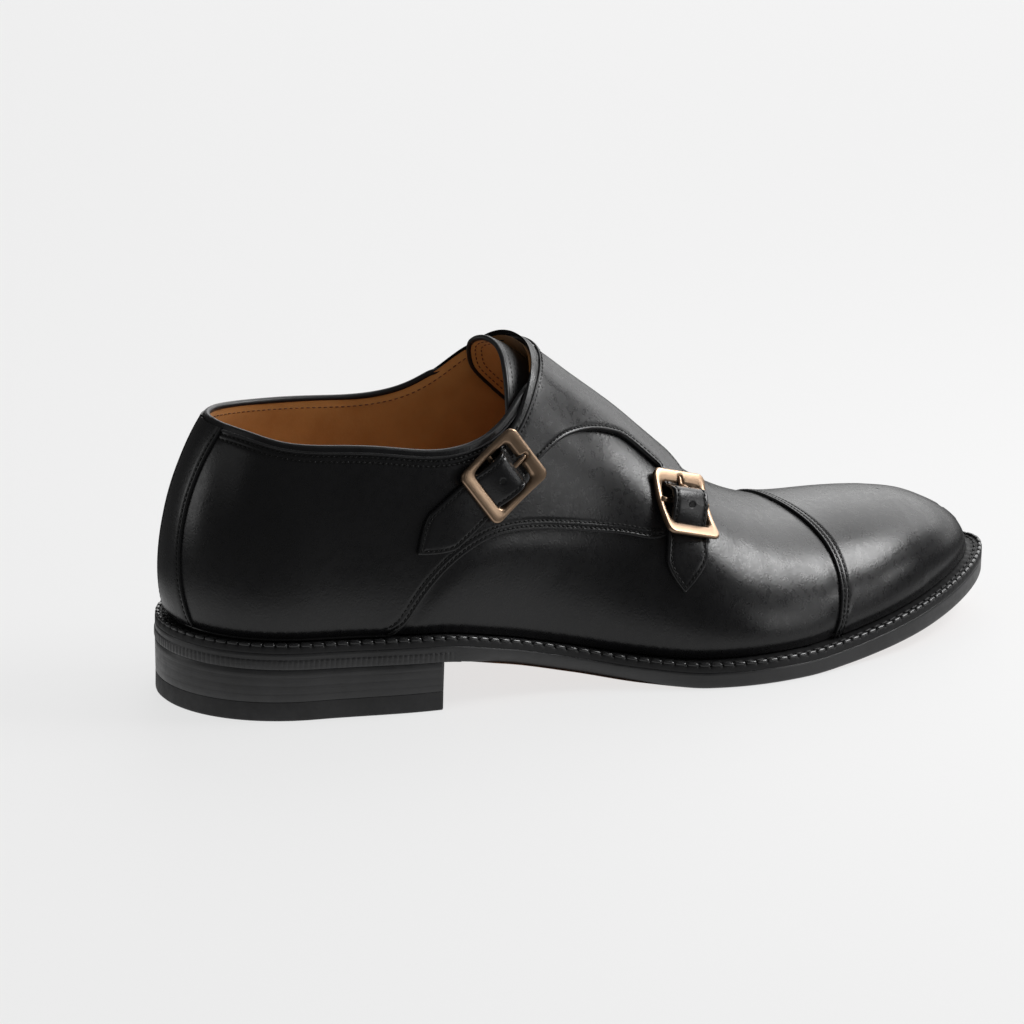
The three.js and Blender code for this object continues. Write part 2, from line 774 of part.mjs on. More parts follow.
// A closed three.js geometry as a solid that can be joined and cut.
function toManifold(geometry) {
  const bare = geometry.clone();
  bare.deleteAttribute('normal');
  bare.deleteAttribute('uv');
  const welded = mergeVertices(bare, 1e-4);
  return new wasm.Manifold(new wasm.Mesh({
    numProp: 3,
    vertProperties: new Float32Array(welded.attributes.position.array),
    triVerts: new Uint32Array(welded.index.array),
  }));
}

function fromManifold(manifold) {
  const mesh = manifold.getMesh();
  const geometry = new THREE.BufferGeometry();
  geometry.setAttribute('position', new THREE.BufferAttribute(mesh.vertProperties, 3));
  geometry.setIndex(new THREE.BufferAttribute(mesh.triVerts, 1));
  return geometry;
}

// A box in a buckle's own axes.
function box(along, across, out) {
  const middle = (range) => (range[0] + range[1]) / 2;
  const size = (range) => range[1] - range[0];
  const shape = new THREE.BoxGeometry(size(along), size(across), size(out));
  return shape.translate(middle(along), middle(across), middle(out));
}

// Puts a geometry that was drawn in a buckle's axes (X along, Y across, Z out) onto the shoe.
function seated(geometry, seat) {
  const matrix = new THREE.Matrix4().makeBasis(seat.along, seat.across, seat.out);
  return geometry.applyMatrix4(matrix.setPosition(seat.centre));
}

function strapWing() {
  const patch = joinSheets([wingSheet(), ...BUCKLES.map(strapSheet)]);
  const humps = BUCKLES.map((buckle) => humpOver(seats[buckle.name]));
  const lift = (point) => Math.max(...humps.map((hump) => hump(point)));
  let leather = toManifold(layer(patch, STRAP_ABOVE, STRAP_ABOVE + STRAP_THICK, lift));
  for (const buckle of BUCKLES) {
    const seat = seats[buckle.name];
    const slot = box([STRAP_SLOT.from, STRAP_SLOT.to], [-STRAP_SLOT.half, STRAP_SLOT.half], [0, 9]);
    leather = leather.subtract(toManifold(seated(slot, seat)));
  }
  return fromManifold(leather);
}

function roundedRectangle(path, halfX, halfY, radius) {
  path.moveTo(-halfX + radius, -halfY);
  path.lineTo(halfX - radius, -halfY);
  path.absarc(halfX - radius, -halfY + radius, radius, -Math.PI / 2, 0);
  path.lineTo(halfX, halfY - radius);
  path.absarc(halfX - radius, halfY - radius, radius, 0, Math.PI / 2);
  path.lineTo(-halfX + radius, halfY);
  path.absarc(-halfX + radius, halfY - radius, radius, Math.PI / 2, Math.PI);
  path.lineTo(-halfX, -halfY + radius);
  path.absarc(-halfX + radius, -halfY + radius, radius, Math.PI, Math.PI * 1.5);
  return path;
}

// Frame with a bar across its middle and a seat for the prong in its upper end.
function buckleFrame(seat) {
  const halfAlong = FRAME.along / 2 - FRAME_BEVEL;
  const halfAcross = FRAME.across / 2 - FRAME_BEVEL;
  const rim = roundedRectangle(new THREE.Shape(), halfAlong, halfAcross, FRAME.corner - FRAME_BEVEL);
  const windowAlong = FRAME.along / 2 - FRAME.end;
  const windowAcross = FRAME.across / 2 - FRAME.side;
  rim.holes.push(roundedRectangle(
    new THREE.Path(),
    windowAlong + FRAME_BEVEL,
    windowAcross + FRAME_BEVEL,
    WINDOW_CORNER,
  ));
  const plate = new THREE.ExtrudeGeometry(rim, {
    depth: FRAME.thick - 2 * FRAME_BEVEL,
    bevelThickness: FRAME_BEVEL,
    bevelSize: FRAME_BEVEL,
    bevelSegments: 1,
    curveSegments: 3,
  });
  plate.translate(0, 0, FRAME.above + FRAME_BEVEL);
  const notch = box([-windowAlong - NOTCH.deep, -windowAlong + 1], [-NOTCH.half, NOTCH.half], [0, 9]);
  const bar = new THREE.CylinderGeometry(BAR_RADIUS, BAR_RADIUS, FRAME.across - FRAME.side, 8);
  bar.translate(0, 0, BAR_ABOVE);
  const metal = toManifold(plate).subtract(toManifold(notch)).add(toManifold(bar));
  return seated(fromManifold(metal), seat);
}

// An arc of a ring round the centre bar, from angle `from` to `to`, `half` wide each way.
function barLoop({ inside, outside, half }, from, to, tail) {
  const shape = new THREE.Shape();
  shape.absarc(0, 0, outside, from, to);
  if (tail) shape.lineTo(tail, -outside);
  if (tail) shape.lineTo(tail, -inside);
  shape.absarc(0, 0, inside, to, from, true);
  const ring = new THREE.ExtrudeGeometry(shape, { depth: 2 * half, bevelEnabled: false, curveSegments: 8 });
  // The profile is drawn in the plane of `along` and `out`, and is as wide as `across`.
  return ring.rotateX(Math.PI / 2).translate(0, half, BAR_ABOVE);
}

// Leather that holds the buckle: it lies under the strap and folds round the bar.
function buckleTab(seat) {
  const folded = toManifold(barLoop(TAB, Math.PI * 0.1, Math.PI * 1.5, TAB.leg));
  const slot = box([-3, TAB.leg - 1.5], [-TAB.slotHalf, TAB.slotHalf], [0, 9]);
  return seated(fromManifold(folded.subtract(toManifold(slot))), seat);
}

function bucklePin(seat) {
  const ring = toManifold(barLoop(PRONG, Math.PI * 0.05, Math.PI * 1.95, 0));
  const level = [PRONG.above - PRONG.thick / 2, PRONG.above + PRONG.thick / 2];
  const shaft = box([-PRONG.reach, -0.4], [-PRONG.half, PRONG.half], level);
  const cut = new THREE.CylinderGeometry(PRONG.inside, PRONG.inside, 4 * PRONG.half, 8);
  cut.translate(0, 0, BAR_ABOVE);
  return seated(fromManifold(ring.add(toManifold(shaft)).subtract(toManifold(cut))), seat);
}

// ---- the shoe --------------------------------------------------------------

const FINISHES = {
  calf: { color: 0x17171a, roughness: 0.38, metalness: 0 },
  soleEdge: { color: 0x202023, roughness: 0.5, metalness: 0 },
  rubber: { color: 0x1c1c1e, roughness: 0.75, metalness: 0 },
  lining: { color: 0xb9763a, roughness: 0.6, metalness: 0 },
  brass: { color: 0xa98a66, roughness: 0.35, metalness: 1 },
};

const shoe = new THREE.Group();

function add(name, geometry, finish) {
  const mesh = new THREE.Mesh(geometry, new THREE.MeshStandardMaterial(FINISHES[finish]));
  mesh.name = name;
  shoe.add(mesh);
}

add('outsole', outsole(), 'soleEdge');
add('welt', welt(), 'soleEdge');
add('heel_stack', heelStack(), 'soleEdge');
add('heel_top_piece', heelTopPiece(), 'rubber');
add('insole', insole(), 'lining');
add('upper', upper(), 'calf');
add('tongue', tongue(), 'calf');
add('toe_cap', toeCap(), 'calf');
add('back_strip', backStrip(), 'calf');
add('strap_wing', strapWing(), 'calf');
for (const { name } of BUCKLES) {
  add(`buckle_${name}`, buckleFrame(seats[name]), 'brass');
  add(`prong_${name}`, bucklePin(seats[name]), 'brass');
  add(`buckle_tab_${name}`, buckleTab(seats[name]), 'calf');
}

const footprint = new THREE.Box3().setFromObject(shoe);
shoe.position.set(-(footprint.min.x + footprint.max.x) / 2, -(footprint.min.y + footprint.max.y) / 2, 0);

export default shoe;
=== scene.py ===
"""Looks of the right shoe of a pair of black cap-toe shoes with two buckled straps.

Pieces are drawn in millimetres on the last, with X from the back of the heel to the toe tip,
Y to the inner side and Z up, and are moved into the shoe's own frame when their mesh is made.
"""

import json
import logging
import math
from dataclasses import dataclass, field
from enum import Enum
from typing import Callable, NamedTuple, Sequence

import bmesh
import bpy
import numpy as np
from mathutils import Matrix, Vector


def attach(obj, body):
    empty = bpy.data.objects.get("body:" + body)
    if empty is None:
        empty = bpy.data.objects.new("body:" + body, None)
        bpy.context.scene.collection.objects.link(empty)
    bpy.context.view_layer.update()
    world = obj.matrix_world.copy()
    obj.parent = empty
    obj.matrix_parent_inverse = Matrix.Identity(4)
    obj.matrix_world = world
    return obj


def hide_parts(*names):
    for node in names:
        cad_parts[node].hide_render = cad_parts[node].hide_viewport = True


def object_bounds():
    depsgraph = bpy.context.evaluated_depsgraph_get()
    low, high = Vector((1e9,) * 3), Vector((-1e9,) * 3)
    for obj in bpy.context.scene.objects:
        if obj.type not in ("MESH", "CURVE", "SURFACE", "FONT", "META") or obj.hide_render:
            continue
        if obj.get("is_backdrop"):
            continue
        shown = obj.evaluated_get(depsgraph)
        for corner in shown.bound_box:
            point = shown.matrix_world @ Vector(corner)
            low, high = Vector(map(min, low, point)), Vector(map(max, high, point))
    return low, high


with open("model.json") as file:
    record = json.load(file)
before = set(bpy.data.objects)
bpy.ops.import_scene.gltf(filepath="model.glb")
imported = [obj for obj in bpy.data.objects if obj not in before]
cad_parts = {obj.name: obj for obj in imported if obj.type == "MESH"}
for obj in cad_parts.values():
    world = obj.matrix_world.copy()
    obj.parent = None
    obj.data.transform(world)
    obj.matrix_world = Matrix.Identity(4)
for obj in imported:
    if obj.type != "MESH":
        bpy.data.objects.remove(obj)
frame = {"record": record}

log = logging.getLogger("shoe")

Array = np.ndarray

OUTER = -1.0
INNER = 1.0
HEEL_REST = (40.0, -3.0, 0.0)


# ---- curves ----------------------------------------------------------------


class NaturalCurve:
    """Natural cubic spline through knots, for arrays of places along it."""

    def __init__(self, at: Sequence[float], value: Sequence[float]) -> None:
        """Solves for the bend at each knot.

        Args:
            at: rising places of the knots.
            value: height of each knot.
        """
        self.at = np.asarray(at, float)
        self.value = np.asarray(value, float)
        last = len(self.at) - 1
        self.bend = np.zeros(last + 1)
        carry = np.zeros(last + 1)
        for i in range(1, last):
            left = self.at[i] - self.at[i - 1]
            right = self.at[i + 1] - self.at[i]
            pivot = 2 * (left + right) - left * carry[i - 1]
            carry[i] = right / pivot
            turn = (self.value[i + 1] - self.value[i]) / right
            turn -= (self.value[i] - self.value[i - 1]) / left
            self.bend[i] = (6 * turn - left * self.bend[i - 1]) / pivot
        for i in range(last - 1, 0, -1):
            self.bend[i] -= carry[i] * self.bend[i + 1]

    @classmethod
    def of(cls, rows: Sequence[Sequence[float]], column: int = 1) -> "NaturalCurve":
        """The spline of one column of a table over its first column."""
        return cls([row[0] for row in rows], [row[column] for row in rows])

    def __call__(self, x: Array) -> Array:
        """Heights of the spline.

        Args:
            x: places along the spline.

        Returns:
            One height for each place.
        """
        x = np.asarray(x, float)
        i = np.clip(np.searchsorted(self.at, x, side="left") - 1, 0, len(self.at) - 2)
        width = self.at[i + 1] - self.at[i]
        b = (x - self.at[i]) / width
        a = 1 - b
        curve = (a**3 - a) * self.bend[i] + (b**3 - b) * self.bend[i + 1]
        return a * self.value[i] + b * self.value[i + 1] + curve * width * width / 6


class LevelCurve:
    """Smooth curve that keeps level stretches level and never overshoots its knots."""

    def __init__(self, at: Sequence[float], value: Sequence[float]) -> None:
        """Works out the slope at each knot.

        Args:
            at: rising places of the knots.
            value: height of each knot.
        """
        self.at = np.asarray(at, float)
        self.value = np.asarray(value, float)
        slope = np.diff(self.value) / np.diff(self.at)
        inner = np.where(
            slope[:-1] * slope[1:] <= 0,
            0.0,
            2 * slope[:-1] * slope[1:] / np.where(slope[:-1] + slope[1:] == 0, 1, slope[:-1] + slope[1:]),
        )
        self.slope = np.concatenate([[slope[0]], inner, [slope[-1]]])

    def __call__(self, x: Array) -> Array:
        """Heights of the curve.

        Args:
            x: places along the curve.

        Returns:
            One height for each place.
        """
        x = np.asarray(x, float)
        i = np.clip(np.searchsorted(self.at, x, side="left") - 1, 0, len(self.at) - 2)
        width = self.at[i + 1] - self.at[i]
        t = np.clip((x - self.at[i]) / width, 0, 1)
        rise = self.value[i + 1] - self.value[i]
        start = self.slope[i] * width
        end = self.slope[i + 1] * width
        return self.value[i] + t * (start + t * (3 * rise - 2 * start - end + t * (start + end - 2 * rise)))


def smooth_step(x: Array, low: float, high: float) -> Array:
    """Soft step from 0 at low to 1 at high."""
    t = np.clip((np.asarray(x, float) - low) / (high - low), 0, 1)
    return t * t * (3 - 2 * t)


def unit(vectors: Array) -> Array:
    """Vectors brought to length 1."""
    return vectors / np.maximum(np.linalg.norm(vectors, axis=-1, keepdims=True), 1e-12)


def run_length(points: Array) -> Array:
    """Distance run along a line at each of its points."""
    steps = np.linalg.norm(np.diff(points, axis=0), axis=1)
    return np.concatenate([[0.0], np.cumsum(steps)])


def evenly(points: Array, count: int) -> Array:
    """Shares of a line's length turned into its own steps, so that points lie evenly.

    Args:
        points: the line.
        count: how many places are wanted.

    Returns:
        Places along the line, counted in points from 0.
    """
    run = run_length(points)
    return np.interp(np.linspace(0, run[-1], count), run, np.arange(len(points)))


def between_rows(rows: Array, at: Array) -> Array:
    """Rows of an array at places between its rows, counted from 0."""
    return np.stack([np.interp(at, np.arange(len(rows)), column) for column in rows.T], -1)


def reach(points: Array, line: Array, limit: float) -> Array:
    """Distance from points to a line.

    Args:
        points: places to measure from.
        line: points of the line.
        limit: the answer for anything farther off than this.

    Returns:
        One distance for each point.
    """
    found = np.full(len(points), float(limit))
    low, high = line.min(0) - limit, line.max(0) + limit
    near = np.flatnonzero(((points > low) & (points < high)).all(1))
    start, step = line[:-1], np.diff(line, axis=0)
    square = np.maximum((step * step).sum(1), 1e-12)
    for chunk in np.array_split(near, max(1, len(near) * len(start) // 1_500_000)):
        offset = points[chunk][:, None] - start[None]
        share = np.clip((offset * step).sum(2) / square, 0, 1)
        gap = offset - share[..., None] * step
        found[chunk] = np.minimum(np.sqrt((gap * gap).sum(2).min(1)), limit) if len(chunk) else found[chunk]
    return found


# ---- the last --------------------------------------------------------------


class Plan(NamedTuple):
    """Plan of the sole at one distance from the heel."""

    x: float
    centre: float
    half: float


class Side(NamedTuple):
    """Underside of the sole at one distance from the heel."""

    x: float
    bottom: float


class Ridge(NamedTuple):
    """One point of the top line of the last."""

    x: float
    y: float
    z: float


class Rib(NamedTuple):
    """One rib of the last, from the welt at `foot` to the ridge at x `top`."""

    foot: float
    top: float
    margin: float
    outer: tuple[float, float, float]
    inner: tuple[float, float, float]


class Place(NamedTuple):
    """A place on the upper: mm along the shoe, and across from -1 outside to +1 inside."""

    station: float
    across: float


@dataclass
class Last:
    """The form of the shoe, as a surface over turns (0 heel to 1 toe) and across places."""

    length: float = 304.6
    heel_round: float = 37.0
    toe_round: float = 66.0
    sole_thick: float = 5.3
    welt_thick: float = 2.6
    gap: float = 0.3
    plan: tuple[Plan, ...] = (
        Plan(0, 0, 36.6), Plan(38, -1.6, 36.6), Plan(76.5, -6.4, 38), Plan(113, -7.4, 35.6),
        Plan(143, -8, 40), Plan(168, -8.2, 49.8), Plan(189, -7, 53.8), Plan(209, -5, 53.2),
        Plan(233, -3.4, 48.2), Plan(258, -3.2, 41.2), Plan(284.4, -1.5, 33.8), Plan(304.6, 2, 28.8),
    )
    side: tuple[Side, ...] = (
        Side(0, 17.6), Side(40, 16.9), Side(76.5, 16.2), Side(100, 12.4), Side(125, 6.6),
        Side(148, 1.8), Side(168, 0), Side(204, 0), Side(224, 1.2), Side(250, 4.6), Side(281, 9.1),
        Side(304.6, 12.8),
    )
    ridge: tuple[Ridge, ...] = (
        Ridge(44, -1, 113.5), Ridge(62, -2, 117.5), Ridge(80, -3, 119), Ridge(104, -3.5, 116.5),
        Ridge(120, -3.5, 110), Ridge(136, -3.5, 97.8), Ridge(160, -3.5, 79), Ridge(180, -3.5, 62),
        Ridge(200, -3.5, 50.5), Ridge(220, -3, 44.5), Ridge(242, -2, 43), Ridge(262, -1, 42.2),
    )
    # Each side of a rib is its lean at the welt and the lengths of its low and high handles.
    ribs: tuple[Rib, ...] = (
        Rib(0, 44, 4.2, (19, 32, 30.5), (19, 32, 30.5)),
        Rib(20, 50, 4.2, (14.5, 30.5, 31.5), (16.5, 31.5, 30.5)),
        Rib(45, 66, 4.2, (10.5, 32, 34), (10.5, 32, 32)),
        Rib(78, 90, 4.2, (10, 32, 36), (4, 33, 32)),
        Rib(110, 113, 4.5, (10, 30, 34), (-2, 34, 28)),
        Rib(140, 138, 5, (10, 27, 27.5), (0, 32, 24)),
        Rib(170, 166, 5.5, (10, 24, 26), (6, 24.5, 23.5)),
        Rib(195, 192, 5.5, (9, 20.5, 29.5), (8, 19, 29.5)),
        Rib(225, 223, 5.5, (8.5, 17, 31.5), (9, 15.5, 30.5)),
        Rib(250, 246, 5.5, (8.5, 16, 28), (8.5, 15.5, 29)),
        Rib(276.3, 259, 5.5, (6, 12.5, 22), (8, 12, 26)),
        Rib(304.6, 261, 5.5, (5, 7.5, 18.5), (5, 7.5, 18.5)),
    )

    def __post_init__(self) -> None:
        """Draws the curves through the tables."""
        self.centre = NaturalCurve.of(self.plan, 1)
        self.half = NaturalCurve.of(self.plan, 2)
        self.bottom = LevelCurve([s.x for s in self.side], [s.bottom for s in self.side])
        self.ridge_y = NaturalCurve.of(self.ridge, 1)
        self.ridge_z = NaturalCurve.of(self.ridge, 2)
        turns = [float(self.turn(rib.foot)) for rib in self.ribs]
        self.rib_top = NaturalCurve(turns, [rib.top for rib in self.ribs])
        self.rib_margin = NaturalCurve(turns, [rib.margin for rib in self.ribs])
        self.rib_outer = [NaturalCurve(turns, [rib.outer[k] for rib in self.ribs]) for k in range(3)]
        self.rib_inner = [NaturalCurve(turns, [rib.inner[k] for rib in self.ribs]) for k in range(3)]

    @property
    def welt_top(self) -> float:
        """Height of the welt's top face above the underside of the sole."""
        return self.sole_thick + self.gap + self.welt_thick

    def station(self, u: Array) -> Array:
        """Mm along the shoe at turn u."""
        return self.length * (1 - np.cos(np.pi * np.asarray(u, float))) / 2

    def turn(self, station: Array) -> Array:
        """Turn at a distance along the shoe."""
        return np.arccos(np.clip(1 - 2 * np.asarray(station, float) / self.length, -1, 1)) / np.pi

    def outline(self, u: Array, side: Array) -> Array:
        """Plan outline of the sole.

        Args:
            u: turns, which may run a little past either end.
            side: OUTER or INNER for each turn.

        Returns:
            X and Y of each point.
        """
        u = np.asarray(u, float)
        x = self.station(u)
        sign = np.where((u < 0) | (u > 1), -1.0, 1.0) * side
        heel = np.maximum(0, 1 - x / self.heel_round)
        toe = np.maximum(0, (x - self.length + self.toe_round) / self.toe_round)
        rounding = np.sqrt(np.maximum(0, 1 - np.maximum(heel, toe) ** 2))
        return np.stack([x, self.centre(x) + sign * self.half(x) * rounding], -1)

    def inset(self, u: Array, side: Array, distance: Array) -> Array:
        """Outline of the sole moved inwards.

        Args:
            u: turns.
            side: OUTER or INNER for each turn.
            distance: mm inwards.

        Returns:
            X and Y of each point.
        """
        step = 1e-4
        along = unit(self.outline(u + step, side) - self.outline(u - step, side))
        side = np.broadcast_to(np.asarray(side, float), np.shape(u))
        distance = np.broadcast_to(np.asarray(distance, float), np.shape(u))
        outward = np.stack([-along[..., 1], along[..., 0]], -1) * side[..., None]
        return self.outline(u, side) - outward * distance[..., None]

    def surface(self, u: Array, across: Array) -> Array:
        """Points of the last's surface.

        Args:
            u: turns; past either end the surface goes on round to the other side.
            across: places across, from -1 to 1.

        Returns:
            X, Y and Z of each point.
        """
        u, across = np.broadcast_arrays(np.asarray(u, float), np.asarray(across, float))
        wrapped = (u < 0) | (u > 1)
        turn = np.where(u < 0, -u, np.where(u > 1, 2 - u, u))
        place = np.where(wrapped, -across, across)
        side = np.where(place < 0, OUTER, INNER)
        lean, rise, crown = (
            np.where(side < 0, outer(turn), inner(turn))
            for outer, inner in zip(self.rib_outer, self.rib_inner)
        )
        margin = self.rib_margin(turn)
        foot_xy = self.inset(turn, side, margin)
        outward = self.inset(turn, side, margin - 1) - foot_xy
        foot = np.stack(
            [foot_xy[..., 0], foot_xy[..., 1], self.bottom(foot_xy[..., 0]) + self.welt_top + self.gap], -1
        )
        angle = np.radians(lean)
        low = np.stack(
            [outward[..., 0] * np.sin(angle), outward[..., 1] * np.sin(angle), np.cos(angle)], -1
        )
        x = self.rib_top(turn)
        top = np.stack([x, self.ridge_y(x), self.ridge_z(x)], -1)
        fan = smooth_step(x, 225, 255) + 1 - smooth_step(x, 48, 80)
        spread = unit(np.stack([(foot[..., 0] - x) * fan, foot[..., 1] - top[..., 1]], -1))
        slope = self.ridge_z(x + 0.5) - self.ridge_z(x - 0.5)
        high = np.stack([spread[..., 0], spread[..., 1], slope * spread[..., 0]], -1)
        t = (1 - np.abs(place))[..., None]
        a, b = foot, foot + low * rise[..., None]
        c, d = top + high * crown[..., None], top
        return a * (1 - t) ** 3 + b * 3 * t * (1 - t) ** 2 + c * 3 * t * t * (1 - t) + d * t**3

    def normal(self, u: Array, across: Array) -> Array:
        """Outward normals of the last's surface.

        Args:
            u: turns.
            across: places across.

        Returns:
            One unit vector for each place.
        """
        u, across = np.broadcast_arrays(np.asarray(u, float), np.asarray(across, float))
        step = 0.004
        sign = np.where(across < 0, -1.0, 1.0)
        place = sign * np.minimum(np.abs(across), 1 - step)
        along = self.surface(u + step, place) - self.surface(u - step, place)
        upward = self.surface(u, place - sign * step) - self.surface(u, place + sign * step)
        found = unit(np.cross(along, upward) * -sign[..., None])
        x = self.rib_top(np.clip(u, 0, 1))
        slope = self.ridge_z(x + 0.5) - self.ridge_z(x - 0.5)
        crest = unit(np.stack([-slope, np.zeros_like(slope), np.ones_like(slope)], -1))
        return np.where((np.abs(across) < 1e-6)[..., None], crest, found)

    def above(self, u: Array, across: Array, height: Array) -> Array:
        """Points a given height above the last's surface.

        Args:
            u: turns.
            across: places across.
            height: mm outwards.

        Returns:
            X, Y and Z of each point.
        """
        height = np.broadcast_to(np.asarray(height, float), np.broadcast_shapes(np.shape(u), np.shape(across)))
        return self.surface(u, across) + self.normal(u, across) * height[..., None]


@dataclass
class Trace:
    """A line on the last, as turns and across places."""

    u: Array
    across: Array

    @classmethod
    def through(cls, last: Last, places: Sequence[Place], count: int) -> "Trace":
        """Smooth line through places, with even steps.

        Args:
            last: the form.
            places: the places it passes.
            count: how many points it gets.

        Returns:
            The line.
        """
        u = last.turn([p.station for p in places])
        across = np.array([p.across for p in places], float)
        run = run_length(last.surface(u, across))
        steps = np.linspace(0, run[-1], count)
        return cls(NaturalCurve(run, u)(steps), NaturalCurve(run, across)(steps))

    def part(self, low: float, high: float) -> "Trace":
        """The stretch between two shares of its points."""
        cut = slice(*(int(round(share * (len(self.u) - 1))) + end for share, end in ((low, 0), (high, 1))))
        return Trace(self.u[cut], self.across[cut])

    def column(self, number: int, step: int = 1) -> "Trace":
        """One column of a grid of places, from its last row where the step is -1."""
        return Trace(self.u[::step, number], self.across[::step, number])

    def joined(self, other: "Trace") -> "Trace":
        """This line followed by another that starts where it ends."""
        return Trace(np.concatenate([self.u, other.u[1:]]), np.concatenate([self.across, other.across[1:]]))

    def even(self, last: Last, count: int) -> "Trace":
        """The same line with even steps."""
        at = evenly(last.surface(self.u, self.across), count)
        return Trace(*between_rows(np.stack([self.u, self.across], -1), at).T)

    def beside(self, last: Last, distance: float) -> "Trace":
        """The line moved sideways on the surface.

        Args:
            last: the form.
            distance: mm to the left when looking along it from outside; negative is right.

        Returns:
            The moved line.
        """
        u, across = self.u.copy(), self.across.copy()
        rounds = max(1, math.ceil(abs(distance) / 1.2))
        step = 1e-4
        for _ in range(rounds):
            points = last.surface(u, across)
            left = np.cross(last.normal(u, across), unit(np.gradient(points, axis=0)))
            left = unit(left) * distance / rounds
            by_u = (last.surface(u + step, across) - last.surface(u - step, across)) / (2 * step)
            by_across = (last.surface(u, across + step) - last.surface(u, across - step)) / (2 * step)
            uu, cc = (by_u * by_u).sum(-1), (by_across * by_across).sum(-1)
            uc = (by_u * by_across).sum(-1)
            ru, rc = (by_u * left).sum(-1), (by_across * left).sum(-1)
            det = uu * cc - uc * uc
            u = u + (ru * cc - rc * uc) / det
            across = across + (rc * uu - ru * uc) / det
        return Trace(u, across)

    def points(self, last: Last, height: float = 0.0) -> Array:
        """Its points at a height above the last."""
        return last.above(self.u, self.across, height)

    def normals(self, last: Last) -> Array:
        """The outward normals along it."""
        return last.normal(self.u, self.across)


# ---- meshes ----------------------------------------------------------------


@dataclass
class Bench:
    """Where pieces are made: the last, and the move from its millimetres to the shoe's frame."""

    last: Last
    shift: Array
    pieces: list[bpy.types.Object] = field(default_factory=list)
    materials: dict[str, bpy.types.Material] = field(default_factory=dict)

    @classmethod
    def for_record(cls, last: Last, record: dict) -> "Bench":
        """Reads the move from the heel's rest point, whose place on the last is known.

        Args:
            last: the form.
            record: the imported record.

        Returns:
            The bench.
        """
        rest = next(mount for mount in record["mounts"] if mount["name"] == "heel_rest")
        return cls(last, np.array(rest["pos_m"]) * 1000 - np.array(HEEL_REST))

    def to_frame(self, points: Array) -> Array:
        """Points in mm on the last as metres in the shoe's frame."""
        return (np.asarray(points, float).reshape(-1, 3) + self.shift) / 1000

    def finish_piece(self, piece: bpy.types.Object, look: "Look", *nodes: str) -> None:
        """Dresses a piece, lets it ride on the shoe and hides the solids it stands for.

        Args:
            piece: the new piece.
            look: its finish; the material is made at its first use.
            nodes: the solids it stands for.
        """
        finish = look.value
        if finish.name not in self.materials:
            self.materials[finish.name] = finish.material()
        piece.data.materials.append(self.materials[finish.name])
        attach(piece, "root")
        if nodes:
            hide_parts(*nodes)
        self.pieces.append(piece)
        log.info("%s: %d faces, %s", piece.name, len(piece.data.polygons), finish.name)


